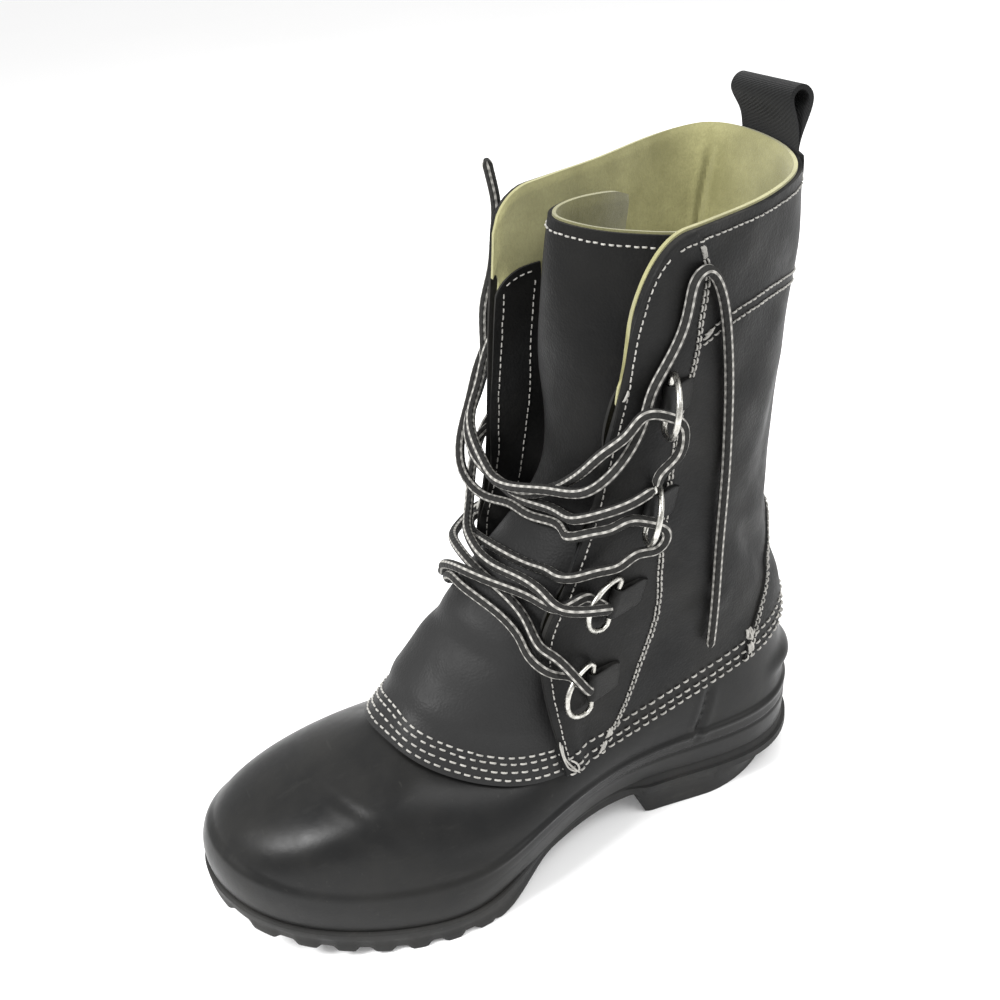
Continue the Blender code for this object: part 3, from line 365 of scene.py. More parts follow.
# Heights of the rows round the lap and round the throat.
LAP_ROWS = (1.6, 5.6, 11.2)
LAP_ROW_START = 0.005
THROAT_ROWS = (3.2, 7.4, 11.2, 13.8)
TONGUE_TOP_ROW = TONGUE_LENGTH - 4.5
# Bars of thread: their two ends and how many turns they have.
TACKS = (
    (((0.3565, 17), (0.3565, 1)), 4),
    (((0.119, 12), (0.087, 1.2)), 3),
    (((0.152, 177), (0.172, 180.5)), 2),
    (((0.132, 216), (0.146, 207)), 2),
    (((0.006, 184), (0.02, 183.4)), 1),
)
TACK_SPREAD = 0.75        # between a bar's turns
# Loose ends of thread, as points of the boot.
LOOSE_THREADS = (
    ((45.6, 11.2, 74), (46.1, 11.4, 68), (46.7, 12.6, 61.5), (47.3, 14.8, 57.4), (47.8, 17.6, 56.4),
     (47.5, 17.6, 59.6), (46.8, 14.8, 62.6)),
    ((45.8, 12.0, 72), (46.5, 12.6, 64), (47.2, 15.4, 58.6), (47.6, 18.2, 54.6)),
)
STRAND_RADIUS = 0.45      # of a loose thread
STRAND_STEP = 0.8         # between its rings
# Kinds of stitch: pitch, share of the pitch that is sewn, radius of the thread.
FACING_STITCH = (3.0, 0.84, 0.42)
COUNTER_STITCH = (3.2, 0.84, 0.42)
EDGE_STITCH = (3.0, 0.72, 0.3)
BAND_STITCH = (3.0, 0.8, 0.38)
RIM_STITCH = (3.0, 0.72, 0.34)
INSIDE_STITCH = (3.2, 0.75, 0.3)
TONGUE_STITCH = (3.2, 0.7, 0.4)
LAP_STITCH = (4.6, 0.68, 0.46)
TACK_STITCH = (5.6, 0.96, 0.5)
# Unevenness: along the row, of a stitch's length, across the row, and of a bar's turns.
STITCH_SHIFT = 0.12
STITCH_STRETCH = 0.06
STITCH_WANDER = 0.1
TACK_TILT = 0.0006
ROUTE_STEPS = 900         # steps in which a row's route is measured
COVER_RAMP = (-1.5, 0.2)  # a cover's edge rises between these distances inside it
COVER_LIFT = 0.1          # stitches lie this far over the leather
# A stitch's rings: place along it, lift and thickness, the last two as shares of its radius.
STITCH_PLACES = np.array([0.0, 0.1, 0.3, 0.7, 0.9, 1.0])
STITCH_LIFTS = np.array([-1.0, 0.2, 0.75, 0.75, 0.2, -1.0])
STITCH_SIZES = np.array([0.7, 0.95, 1.0, 1.0, 0.95, 0.7])
RNG = np.random.default_rng(5)

# The lace's pieces with their nodes and runs.
LACE_PIECES = (
    ("laces_crossing", "lace_crossings", LACE_RUNS),
    ("lace_end_standing", "lace_slack_near", SLACK_NEAR),
    ("lace_end_hanging", "lace_slack_far", SLACK_FAR),
)

# ---------------------------------------------------------------- colours and light
COOL = (0.98, 1.0, 1.02)
WARM = (1.03, 1.0, 0.93)
OLIVE_DARK = (0.25, 0.238, 0.107, 1.0)
OLIVE_PALE = (0.385, 0.367, 0.18, 1.0)
OLIVE_SHADE = (0.155, 0.148, 0.06, 1.0)
STEEL_BRIGHT = (0.62, 0.61, 0.57, 1.0)
STEEL_DULL = (0.2, 0.19, 0.165, 1.0)
# painted shade: the tongue's felt is painted darker than the rest of the felt by this share
TONGUE_FELT_PAINTED_SHADE = 0.62
LEATHER_SHINE = 0.17      # low, so that white surroundings leave it black
RUBBER_SHINE = 0.2
PAINTED_LIGHT_LOW = 0.13           # painted light: the vamp is painted palest below this height and left darker above the next (metres)
PAINTED_LIGHT_TOP = 0.19
LACE_STRIPES = 4          # pale stripes round the lace
STRIPE_EDGE = 0.55        # a higher edge makes them narrower
BRAID_TURNS = 4           # strands of the braid round the lace, each way
BRAID_RUN = 7.0           # their turn for each lace width along it (radians)

CAMERA_PLACE = (421.8, -121.4, 439.2)    # among the tables' points
CAMERA_AZIMUTH = 72.2
CAMERA_ELEVATION = 31.0
CAMERA_ROLL = -7.9
CAMERA_LENS = 44.0
SENSOR_WIDTH = 36.0
CLIP_START = 0.01

FLOOR_SIZE = 12.0         # metres
FLOOR_GLOW = 0.1
FLOOR_TONES = (0.9, 0.93)
WORLD_LIGHT = 0.88
WHITE = (1.0, 1.0, 1.0, 1.0)
LIGHT_TARGET = Vector((0.0, 0.038, 0.12))    # metres, in the frame
# Lights: name, azimuth and elevation in degrees, distance and size in metres, power in watts.
LIGHTS = (
    ("key", 140, 50, 1.3, (1.0, 0.8), 9.5),
    ("front", 8, 46, 1.4, (0.4, 0.4), 20.0),
    ("back", 235, 45, 1.4, (1.0, 0.8), 10.0),
)


# ---------------------------------------------------------------- curves and surfaces
def cubic(knots, values, where):
    """Natural cubic spline through rows of values at rising knots, read at the places given."""
    knots = np.asarray(knots, float)
    values = np.asarray(values, float)
    flat = values.reshape(len(knots), -1)
    count = len(knots)
    step = np.diff(knots)
    slope = np.diff(flat, axis=0) / step[:, None]
    matrix = np.eye(count)
    right = np.zeros_like(flat)
    for i in range(1, count - 1):
        matrix[i, i - 1:i + 2] = step[i - 1], 2 * (step[i - 1] + step[i]), step[i]
        right[i] = 6 * (slope[i] - slope[i - 1])
    bend = np.linalg.solve(matrix, right)
    where = np.asarray(where, float)
    i = np.clip(np.searchsorted(knots, where, side="right") - 1, 0, count - 2)
    h = step[i][:, None]
    a = (knots[i + 1] - where)[:, None]
    b = (where - knots[i])[:, None]
    read = (bend[i] * a ** 3 / (6 * h) + bend[i + 1] * b ** 3 / (6 * h)
            + (flat[i] / h - bend[i] * h / 6) * a + (flat[i + 1] / h - bend[i + 1] * h / 6) * b)
    return read.reshape((len(where),) + values.shape[1:])


def travel_along(points):
    """Distance travelled at each point of a path."""
    steps = np.linalg.norm(np.diff(points, axis=0), axis=1)
    return np.concatenate([[0.0], np.cumsum(steps)])


def read_path(travel, values, where):
    """Columns of values along a path, read at the places given."""
    return np.stack([np.interp(where, travel, column) for column in values.T], axis=-1)


def closed_cubic(rows, turns):
    """Smooth closed curve through the rows, whose first two columns set the spacing."""
    rows = np.asarray(rows, float)
    travel = travel_along(np.vstack([rows, rows[:1]])[:, :2])
    knots = travel / travel[-1]
    lead = 4
    wrapped = np.vstack([rows[-lead:], rows, rows[:lead]])
    wrapped_knots = np.concatenate([knots[-1 - lead:-1] - 1.0, knots[:-1], knots[:lead] + 1.0])
    return cubic(wrapped_knots, wrapped, np.mod(turns, 1.0))


def unit(vectors):
    """The vectors at length 1."""
    return vectors / np.maximum(np.linalg.norm(vectors, axis=-1, keepdims=True), 1e-9)


def smooth(x, low, high):
    """0 below low, 1 above high and an even ramp between them."""
    t = np.clip((np.asarray(x, float) - low) / (high - low), 0.0, 1.0)
    return t * t * (3 - 2 * t)


def grid_normals(grid, closed):
    """Unit normals of a grid of points (round, up), to the right of the way round."""
    if closed:
        around = np.roll(grid, -1, axis=0) - np.roll(grid, 1, axis=0)
    else:
        around = np.gradient(grid, axis=0)
    return unit(np.cross(around, np.gradient(grid, axis=1)))


def sole_under(y):
    """Height of the sole's underside: heel block, raised waist, flat tread and toe spring."""
    raised = smooth(y, FIRST_LUG_Y, FIRST_LUG_Y + WAIST_RAMP) * (1 - smooth(y, BREAST_Y - 4, BREAST_Y))
    spring = TOE_SPRING * (np.clip((SPRING_START_Y - y) / (SPRING_START_Y - TOE_Y), 0, 1.2)) ** 1.7
    return WAIST_RISE * raised + spring


def sole_ledge(y):
    """How far the sole stands out past the shell, and how far its foot is tucked in again."""
    waist = smooth(y, FIRST_LUG_Y, FIRST_LUG_Y + WAIST_RAMP) * (1 - smooth(y, BREAST_Y - 8, BREAST_Y + 4))
    return SOLE_LEDGE - WAIST_INSET * waist, HEEL_TUCK * smooth(y, 85, 132)


def sole_upper(y):
    """Height of the sole's upper edge."""
    table = np.array(SOLE_UPPER, float)
    shape = np.shape(y)
    return cubic(table[:, 0], table[:, 1:], np.ravel(y)).reshape(shape)


def foot_table(turns):
    """The foot sections read at the turns: their columns and the outward way of the sole edge."""
    rows = list(FOOT_SECTIONS.values())
    turns = np.asarray(turns, float)
    read = closed_cubic(rows, turns)
    nudge = 0.002
    along = closed_cubic(rows, turns + nudge)[:, :2] - closed_cubic(rows, turns - nudge)[:, :2]
    along = unit(along)
    outward = np.column_stack([-along[:, 1], along[:, 0], np.zeros(len(turns))])
    return dict(zip(FOOT_COLUMNS, read.T)), outward


def foot_edge(turns):
    """Points of the shell's lower edge and the outward way there."""
    column, outward = foot_table(turns)
    edge = np.column_stack([column["edge_x"], column["edge_y"], sole_upper(column["edge_y"])])
    return edge, outward


def shell_paths(turns, climb):
    """Plain outer face of the shell: climb 0 at the sole's edge, 1 at the lap line."""
    column, outward = foot_table(turns)
    edge = foot_edge(turns)[0]
    lap = np.column_stack([column["lap_x"], column["lap_y"], column["lap_z"]])
    first = edge + outward * column["lean"][:, None] + UP * column["rise"][:, None]
    second = lap + outward * column["roll"][:, None] - UP * column["drop"][:, None]
    t = np.asarray(climb, float)[None, :, None]
    return ((1 - t) ** 3 * edge[:, None] + 3 * t * (1 - t) ** 2 * first[:, None]
            + 3 * t ** 2 * (1 - t) * second[:, None] + t ** 3 * lap[:, None])


def lap_points(turns, along):
    """Points of the face that carries the leather, `along` millimetres up from the lap line."""
    column, outward = foot_table(turns)
    lap = np.column_stack([column["lap_x"], column["lap_y"], column["lap_z"]])
    way = unit(UP * (column["drop"] + 30)[:, None] - outward * column["roll"][:, None])
    return lap[:, None] + way[:, None] * np.asarray(along, float)[None, :, None]


def lap_normals(turns):
    """The way out of the foot on the lap line."""
    column, outward = foot_table(turns)
    return unit(outward * (column["drop"] + 30)[:, None] + UP * column["roll"][:, None])


def sole_stations(spacing):
    """Evenly spaced places along the foot, closer together towards the heel and toe ends."""
    count = int((HEEL_Y - TOE_Y) / spacing)
    t = np.linspace(0, 1, count + 1)
    t -= 0.13 * np.sin(2 * np.pi * t)
    return HEEL_Y + (TOE_Y - HEEL_Y) * t


def turns_at(stations):
    """Turns of the outer side at the stations, and of the inner side."""
    dense = np.linspace(0, 1, 8001)
    y = foot_table(dense)[0]["edge_y"]
    tip = int(np.argmin(y))
    heel = int(np.argmax(y[:tip]))
    far_heel = tip + int(np.argmax(y[tip:]))
    outer = np.interp(-stations, -y[heel:tip + 1], dense[heel:tip + 1])
    inner = np.interp(-stations, -y[tip:far_heel + 1][::-1], dense[tip:far_heel + 1][::-1])
    return outer, inner


# ---------------------------------------------------------------- shaft, tongue and lace routes
def shaft_turns(u):
    """Turn on the foot's lap line below each place round the shaft."""
    u = np.asarray(u, float)
    near = SHAFT_FRONT_TURN * (1 - 2 * u)
    far = 1 - (1 - SHAFT_FRONT_TURN_IN) * (2 * u - 1)
    return np.where(u <= 0.5, near, far)


def corner_drop(distance, size):
    """How far a rounded corner lies below the collar, at a distance from the front edge."""
    along, down = size
    reach = np.clip((along - distance) / along, 0, 1)
    return down * (1 - np.sqrt(1 - reach ** 2))


def tuck(u):
    """1 where the shaft's lower front corners ride over the vamp, 0 further round."""
    edge = np.minimum(u, 1 - u)
    return 1 - smooth(edge, 0.03, 0.062)


def shaft_frame(u, v):
    """Outer face of the shaft: u round from the outer front edge, v up from lap line to collar."""
    turns = shaft_turns(u)
    lift = LAP_GAP + LEATHER + TUCK_LIFT * tuck(u)
    low = lap_points(turns, (0.0, LAP)) + (lap_normals(turns) * lift[:, None])[:, None]
    levels = []
    for height, *places in SHAFT_LEVELS.values():
        level = cubic(SHAFT_ROUND, places, u)
        levels.append(np.column_stack([level, np.full(len(u), float(height))]))
    stack = np.concatenate([low, np.stack(levels, axis=1)], axis=1)
    knots = np.array(SHAFT_KNOTS) / SHAFT_RISE
    drop = corner_drop(u * SHAFT_GIRTH, CORNER_OUT) + corner_drop((1 - u) * SHAFT_GIRTH, CORNER_IN)
    grid = np.empty((len(u), len(v), 3))
    for i in range(len(u)):
        grid[i] = cubic(knots, stack[i], v * (1 - drop[i] / SHAFT_RISE))
    return grid


def tongue_frame(across, v):
    """Outer face of the vamp and tongue: across from the outer end, v up from the lap line."""
    start = SHAFT_FRONT_TURN - TONGUE_TUCK
    stop = SHAFT_FRONT_TURN_IN + TONGUE_TUCK
    turns = start + (stop - start) * across
    low = lap_points(turns, (0.0, LAP)) + lap_normals(turns)[:, None] * (LAP_GAP + LEATHER)
    levels = [cubic(TONGUE_ACROSS, places, across) for places in TONGUE_SECTIONS.values()]
    stack = np.concatenate([low, np.stack(levels, axis=1)], axis=1)
    knots = np.array(TONGUE_KNOTS) / TONGUE_LENGTH
    return cubic(knots, stack.transpose(1, 0, 2), v).transpose(1, 0, 2)


def shaft_spot(u, height):
    """A point on the shaft's plain outer face at a height, with the ways out, up and forward."""
    v = np.linspace(0, 1, 61)
    spread = 0.01
    columns = shaft_frame(np.array([u - spread, u, u + spread]), v)
    level = [np.array([np.interp(height, c[:, 2], c[:, k]) for k in range(3)]) for c in columns]
    above = np.array([np.interp(height + 6, columns[1][:, 2], columns[1][:, k]) for k in range(3)])
    up = unit(above - level[1])
    side = 1 if u < 0.5 else -1
    out = unit(np.cross(up, level[0] - level[2]))
    return level[1], out, up, unit(np.cross(out, up)) * side


def ring_spots():
    """Middle of each ring's bar with the ways forward, out and up, and the ring's reach."""
    spots = {}
    for side, number, u, height, swing in RINGS:
        point, out, up, forward = shaft_spot(u, height)
        centre = point + out * (TAB_SEAT + TAB + GAP + RING_WIRE / 2)
        turn = math.radians(swing)
        spots[side, number] = (centre, forward, out, up, forward * math.cos(turn) + out * math.sin(turn))
    return spots


def ring_pass(spot, places, climb):
    """Places round a ring's wire turned into points of the boot, the lace climbing forward."""
    centre, forward, out, up, _ = spot
    turn = math.radians(climb)
    ahead = forward * math.cos(turn) + up * math.sin(turn)
    above = up * math.cos(turn) - forward * math.sin(turn)
    return [centre + ahead * f + out * o + above * w for f, o, w in places]


def smooth_route(points, step):
    """Points of a smooth curve through the route's own points, closer together where it bends."""
    points = np.asarray(points, float)
    chord = np.sqrt(np.linalg.norm(np.diff(points, axis=0), axis=1))
    knots = np.concatenate([[0.0], np.cumsum(chord)])
    dense = cubic(knots, points, np.linspace(0, knots[-1], 6000))
    leg = np.diff(dense, axis=0)
    length = np.linalg.norm(leg, axis=1)
    turn = np.linalg.norm(np.diff(unit(leg), axis=0, append=unit(leg[-1:])), axis=1)
    travel = np.concatenate([[0.0], np.cumsum(length + turn * BEND_SPACING)])
    return read_path(travel, dense, np.linspace(0, travel[-1], int(round(travel[-1] / step)) + 1))


def lace_route(runs):
    """The lace through its runs, from ring to ring: over the tongue, through each ring and back."""
    spots = ring_spots()
    route = []
    for stop, places in runs:
        route += places
        if stop in RING_PASSES and (stop, places) != runs[-1]:
            side, number, climb, shape, step = RING_PASSES[stop]
            route += ring_pass(spots[side, number], shape, climb)[::step]
    return route


# ---------------------------------------------------------------- fine surfaces
class Surface:
    """Fine grid of points and outward normals that can be read at any two places."""

    def __init__(self, first, second, points, outward, closed=False):
        self.first = first
        self.second = second
        self.points = points
        self.closed = closed
        self.outward = np.array(outward, float)
        self.turn_normals()

    def turn_normals(self):
        """Work out the normals, all on the outward side."""
        if self.closed:
            normals = grid_normals(self.points[:-1], closed=True)
            normals = np.concatenate([normals, normals[:1]])
        else:
            normals = grid_normals(self.points, closed=False)
        middle = normals[len(self.first) // 2, len(self.second) // 2]
        self.normals = normals * np.sign(middle @ self.outward)

    def relieve(self, height):
        """Raise the surface by a height at each grid point."""
        self.points = self.points + self.normals * height[..., None]
        self.turn_normals()

    def read(self, grid, a, b):
        """The grid's values at places a and b."""
        fa = np.interp(a, self.first, np.arange(len(self.first)))
        fb = np.interp(b, self.second, np.arange(len(self.second)))
        i = np.clip(fa.astype(int), 0, len(self.first) - 2)
        j = np.clip(fb.astype(int), 0, len(self.second) - 2)
        s = (fa - i)[..., None]
        t = (fb - j)[..., None]
        return ((1 - s) * (1 - t) * grid[i, j] + s * (1 - t) * grid[i + 1, j]
                + (1 - s) * t * grid[i, j + 1] + s * t * grid[i + 1, j + 1])

    def at(self, a, b, lift=0.0):
        """Points at the places, lifted off the surface."""
        raised = unit(self.read(self.normals, a, b)) * np.asarray(lift, float)[..., None]
        return self.read(self.points, a, b) + raised

    def normal(self, a, b):
        """Unit normals at the places."""
        return unit(self.read(self.normals, a, b))


def trough(places, line, depth, width):
    """Heights of a soft trough with low shoulders along a line, fading at its ends."""
    line = np.asarray(line, float)
    travel = travel_along(line)
    path = cubic(travel, line, np.linspace(0, travel[-1], 60))
    flat = places.reshape(-1, line.shape[1])
    gap = np.full(len(flat), 1e9)
    along = np.zeros(len(flat))
    for k, spot in enumerate(path):
        far = np.linalg.norm(flat - spot, axis=1)
        nearer = far < gap
        gap[nearer] = far[nearer]
        along[nearer] = k / (len(path) - 1)
    fade = smooth(along, 0.0, 0.25) * (1 - smooth(along, 0.75, 1.0))
    dip = np.exp(-(gap / width) ** 2)
    shoulder = 0.35 * np.exp(-((gap - 2 * width) / width) ** 2)
    return (depth * fade * (shoulder - dip)).reshape(places.shape[:-1])


def troughs(places, table):
    """Heights of all the troughs of a table together."""
    return sum(trough(places, line, depth, width) for line, depth, width in table)


def spread_out(surface, girth, rise):
    """Millimetres round and up at each point of a surface's grid."""
    around = surface.first[:, None] * girth
    upward = surface.second[None, :] * rise
    return np.stack(np.broadcast_arrays(around, upward), axis=-1)


def swell(places, waves):
    """Low uneven swelling made of a few long waves."""
    total = np.zeros(places.shape[:-1])
    for height, length_a, length_b, phase in waves:
        waves_passed = places[..., 0] / length_a + places[..., 1] / length_b
        total += height * np.sin(2 * np.pi * waves_passed + phase)
    return total


def shaft_surface():
    """The shaft's outer face with its folds and soft dents."""
    u, v = [np.linspace(0, 1, count) for count in SHAFT_GRID]
    made = Surface(u, v, shaft_frame(u, v), (0, 1, 0))
    places = spread_out(made, SHAFT_GIRTH, SHAFT_RISE)
    height = swell(places, SHAFT_WAVES) * smooth(places[..., 1], LAP, LAP + 40)
    made.relieve(height + troughs(places, SHAFT_FOLDS))
    return made


def tongue_surface():
    """The vamp and tongue's outer face with its folds and soft dents."""
    across, v = [np.linspace(0, 1, count) for count in TONGUE_GRID]
    made = Surface(across, v, tongue_frame(across, v), (0.2, -0.9, 0.4))
    places = spread_out(made, TONGUE_GIRTH, TONGUE_LENGTH)
    along, upward = places[..., 0], places[..., 1]
    height = swell(places, TONGUE_WAVES) * smooth(upward, LAP, LAP + 30)
    height += VAMP_PUFF * smooth(upward, 16, 23) * (1 - smooth(upward, 30, 90))
    height *= smooth(along, 0, 20) * (1 - smooth(along, TONGUE_GIRTH - 20, TONGUE_GIRTH))
    made.relieve(height + troughs(places, TONGUE_FOLDS))
    return made


def shell_surface():
    """The rubber's outer face with its foxing band, heel bump, mould lines and creases."""
    turns, climb = [np.linspace(0, 1, count) for count in SHELL_GRID]
    paths = np.concatenate([shell_paths(turns, climb), lap_points(turns, (LAP / 2, LAP - 0.4))], axis=1)
    rows = np.concatenate([climb, (1.03, 1.06)])
    made = Surface(turns, rows, paths, (0, -1, 0.3), closed=True)
    x, y, z = np.moveaxis(paths, -1, 0)
    rise = z - z[:, :1]
    heel = smooth(y, 20, 70)
    waist = smooth(y, -60, 0)
    soft = 3.2 - 1.0 * waist - 0.6 * heel
    height = FOXING_PROUD * (1 - smooth(rise, FOXING_HEIGHT - soft, FOXING_HEIGHT + soft * 0.4))
    height += 0.5 * np.exp(-((rise - FOXING_HEIGHT + 2.2) / 1.3) ** 2) * waist
    height -= FOXING_LINE_DEPTH * np.exp(-((rise - FOXING_LINE) / 0.9) ** 2) * (0.1 * waist + 0.9 * heel)
    height += HEEL_BUMP * np.exp(-((z - HEEL_BUMP_Z) / 4.5) ** 2) * smooth(y, 122, 141)
    height += smooth(rise, FOXING_HEIGHT, FOXING_HEIGHT + 8) * troughs(paths[..., :2], VAMP_CREASES)
    height += smooth(x, 0, 10) * troughs(paths[..., 1:], SIDE_CREASES)
    made.relieve(height)
    return made


# ---------------------------------------------------------------- meshes
def grid_faces(rows, columns, wrap_rows, wrap_columns, start=0):
    """Quads of a grid of points, as an array of indices."""
    i = np.arange(rows if wrap_rows else rows - 1)[:, None]
    j = np.arange(columns if wrap_columns else columns - 1)[None, :]
    i2 = (i + 1) % rows
    j2 = (j + 1) % columns
    corners = [i * columns + j, i2 * columns + j, i2 * columns + j2, i * columns + j2]
    return np.stack(corners, axis=-1).reshape(-1, 4) + start


def placed(points):
    """Points of the tables as points of the frame, in metres."""
    return (np.asarray(points) - ORIGIN) * MM


def smooth_mesh(mesh, weld=False):
    """Turn the faces outward and shade them smooth; welding also closes open ends."""
    work = bmesh.new()
    work.from_mesh(mesh)
    if weld:
        bmesh.ops.remove_doubles(work, verts=work.verts, dist=WELD)
        bmesh.ops.holes_fill(work, edges=work.edges, sides=0)
    bmesh.ops.recalc_face_normals(work, faces=work.faces)
    work.to_mesh(mesh)
    work.free()
    mesh.shade_smooth()
    mesh.set_sharp_from_angle(angle=SHARP_ANGLE)


def make_piece(name, points, faces, finishes, face_finish=None, uv=None):
    """Smooth mesh piece from points in millimetres, riding on the boot's one body."""
    mesh = bpy.data.meshes.new(name)
    mesh.from_pydata(placed(points).tolist(), [], [list(face) for face in faces])
    for finish in finishes:
        mesh.materials.append(finish)
    if face_finish is not None:
        mesh.polygons.foreach_set("material_index", np.asarray(face_finish, np.int32))
    if uv is not None:
        add_uv(mesh, uv)
    smooth_mesh(mesh)
    made = bpy.data.objects.new(name, mesh)
    bpy.context.scene.collection.objects.link(made)
    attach(made, "root")
    return made


def add_uv(mesh, uv):
    """Give the mesh's corners their UVs."""
    uv_layer = mesh.uv_layers.new(name="UVMap")
    uv_layer.data.foreach_set("uv", np.asarray(uv, np.float32).ravel())


def layer(name, outer, inner, finishes, closed=False):
    """Closed layer between two grids, with finishes for its outer face, inner face and edges."""
    rows, columns = outer.shape[:2]
    count = rows * columns
    points = np.vstack([outer.reshape(-1, 3), inner.reshape(-1, 3)])
    faces = [grid_faces(rows, columns, closed, False), grid_faces(rows, columns, closed, False, count)]
    rims = []
    i = np.arange(rows if closed else rows - 1)
    for j in (0, columns - 1):
        low, high = i * columns + j, (i + 1) % rows * columns + j
        rims.append(np.stack([low, low + count, high + count, high], axis=-1))
    if not closed:
        j = np.arange(columns - 1)
        for i in (0, rows - 1):
            low = i * columns + j
            rims.append(np.stack([low, low + 1, low + 1 + count, low + count], axis=-1))
    finish = np.repeat((0, 1, 2), (len(faces[0]), len(faces[1]), sum(len(rim) for rim in rims)))
    return make_piece(name, points, np.vstack(faces + rims), finishes, finish)


def eased(count, edge):
    """Places from 0 to 1 with a close row at each end."""
    return np.concatenate([[0.0, edge / 2], np.linspace(edge, 1 - edge, count - 4), [1 - edge / 2, 1.0]])


def edge_lift(places, edge, thick):
    """Lift of a strip's face: full in the middle, rounded down to a third at its edges."""
    near = np.minimum(places, 1 - places)
    return thick * (0.35 + 0.65 * np.sqrt(np.clip(1 - (1 - np.clip(near / edge, 0, 1)) ** 2, 0, 1)))


def ring(side, over, sides):
    """Unit rings of points in the planes of two ways, one ring for each pair."""
    angles = (2 * np.pi * np.arange(sides) / sides)[:, None]
    return np.cos(angles) * side[..., None, :] + np.sin(angles) * over[..., None, :]


def tube_mesh(path, radius, sides):
    """Points, faces and UVs of a round tube with tapered closed ends. U is the turn round it and
    V the length along it in tube widths."""
    ahead = unit(np.gradient(path, axis=0))
    side = np.empty_like(path)
    side[0] = unit(np.cross(ahead[0], UP + 0.1))
    for k in range(1, len(path)):
        carried = side[k - 1] - ahead[k] * (side[k - 1] @ ahead[k])
        side[k] = unit(carried)
    over = np.cross(ahead, side)
    size = np.full(len(path), radius)
    size[0] = size[-1] = radius * 0.55
    points = path[:, None] + ring(side, over, sides) * size[:, None, None]
    faces = grid_faces(len(path), sides, False, True)
    length = travel_along(path) / (2 * radius)
    i = np.repeat(np.arange(len(path) - 1), sides)
    j = np.tile(np.arange(sides), len(path) - 1)
    uv = np.stack([np.stack([(j + turn) / sides, length[i + step]], -1)
                   for step, turn in ((0, 0), (1, 0), (1, 1), (0, 1))], 1)
    caps = [list(range(sides)), [(len(path) - 1) * sides + k for k in range(sides)]]
    uv = np.concatenate([uv.reshape(-1, 2), np.zeros((2 * sides, 2))])
    return points.reshape(-1, 3), faces.tolist() + caps, uv


# ---------------------------------------------------------------- materials
class Finish:
    """A procedural material that is put together node by node."""

    def __init__(self, name, roughness=0.5, metallic=0.0, **sockets):
        self.material = bpy.data.materials.new(name)
        self.material.use_nodes = True
        self.tree = self.material.node_tree
        self.shader = self.tree.nodes["Principled BSDF"]
        self.shader.inputs["Roughness"].default_value = roughness
        self.shader.inputs["Metallic"].default_value = metallic
        for socket, value in sockets.items():
            self.shader.inputs[socket.replace("_", " ")].default_value = value
        self.places = self.add("ShaderNodeTexCoord").outputs["Object"]
        self.normal = None

    def add(self, kind, inputs=(), **settings):
        """Add a node, set its properties and fill or link its inputs."""
        node = self.tree.nodes.new(kind)
        for key, value in settings.items():
            setattr(node, key, value)
        for key, value in inputs:
            if isinstance(value, bpy.types.NodeSocket):
                self.tree.links.new(value, node.inputs[key])
            else:
                node.inputs[key].default_value = value
        return node

    def noise(self, size, detail, rough=0.55, stretch=(1, 1, 1)):
        """Noise whose features are `size` metres wide."""
        vector = self.add("ShaderNodeMapping", (("Vector", self.places), ("Scale", stretch))).outputs[0]
        made = self.add("ShaderNodeTexNoise", (("Vector", vector), ("Scale", 1 / size), ("Detail", detail),
                                               ("Roughness", rough)))
        return made.outputs[0]

    def cells(self, size):
        """Distance inside cells `size` metres wide."""
        inputs = (("Vector", self.places), ("Scale", 1 / size))
        return self.add("ShaderNodeTexVoronoi", inputs, feature="F1").outputs["Distance"]

    def thread_places(self):
        """The mesh's own U and V, for threads that run along or across a piece."""
        uv = self.add("ShaderNodeUVMap").outputs[0]
        return self.add("ShaderNodeSeparateXYZ", (("Vector", uv),)).outputs[:2]

    def span(self, value, low, high, to_low=0.0, to_high=1.0):
        """Value mapped from one range to another, held at the ends."""
        made = self.add("ShaderNodeMapRange", (("Value", value), ("From Min", low), ("From Max", high),
                                               ("To Min", to_low), ("To Max", to_high)))
        return made.outputs[0]

    def sine(self, value):
        """Sine of a value in radians."""
        return self.math("SINE", value)

    def math(self, operation, a, b=0.0):
        """Two values through a maths node."""
        return self.add("ShaderNodeMath", ((0, a), (1, b)), operation=operation).outputs[0]

    def mix(self, factor, a, b):
        """Mix of two colours."""
        made = self.add("ShaderNodeMix", ((0, factor), (6, a), (7, b)), data_type="RGBA")
        return made.outputs[2]

    def colour(self, value):
        """Link the base colour."""
        self.tree.links.new(value, self.shader.inputs["Base Color"])

    def rough(self, value):
        """Link the roughness."""
        self.tree.links.new(value, self.shader.inputs["Roughness"])

    def bump(self, height, depth, strength):
        """Add a bump whose full height is `depth` metres."""
        inputs = [("Height", height), ("Distance", depth), ("Strength", strength)]
        if self.normal is not None:
            inputs.append(("Normal", self.normal))
        self.normal = self.add("ShaderNodeBump", inputs).outputs[0]
        self.tree.links.new(self.normal, self.shader.inputs["Normal"])


def rgb(value, tint=(1.0, 1.0, 1.0)):
    """A grey of this brightness with a slight tint."""
    return (value * tint[0], value * tint[1], value * tint[2], 1.0)


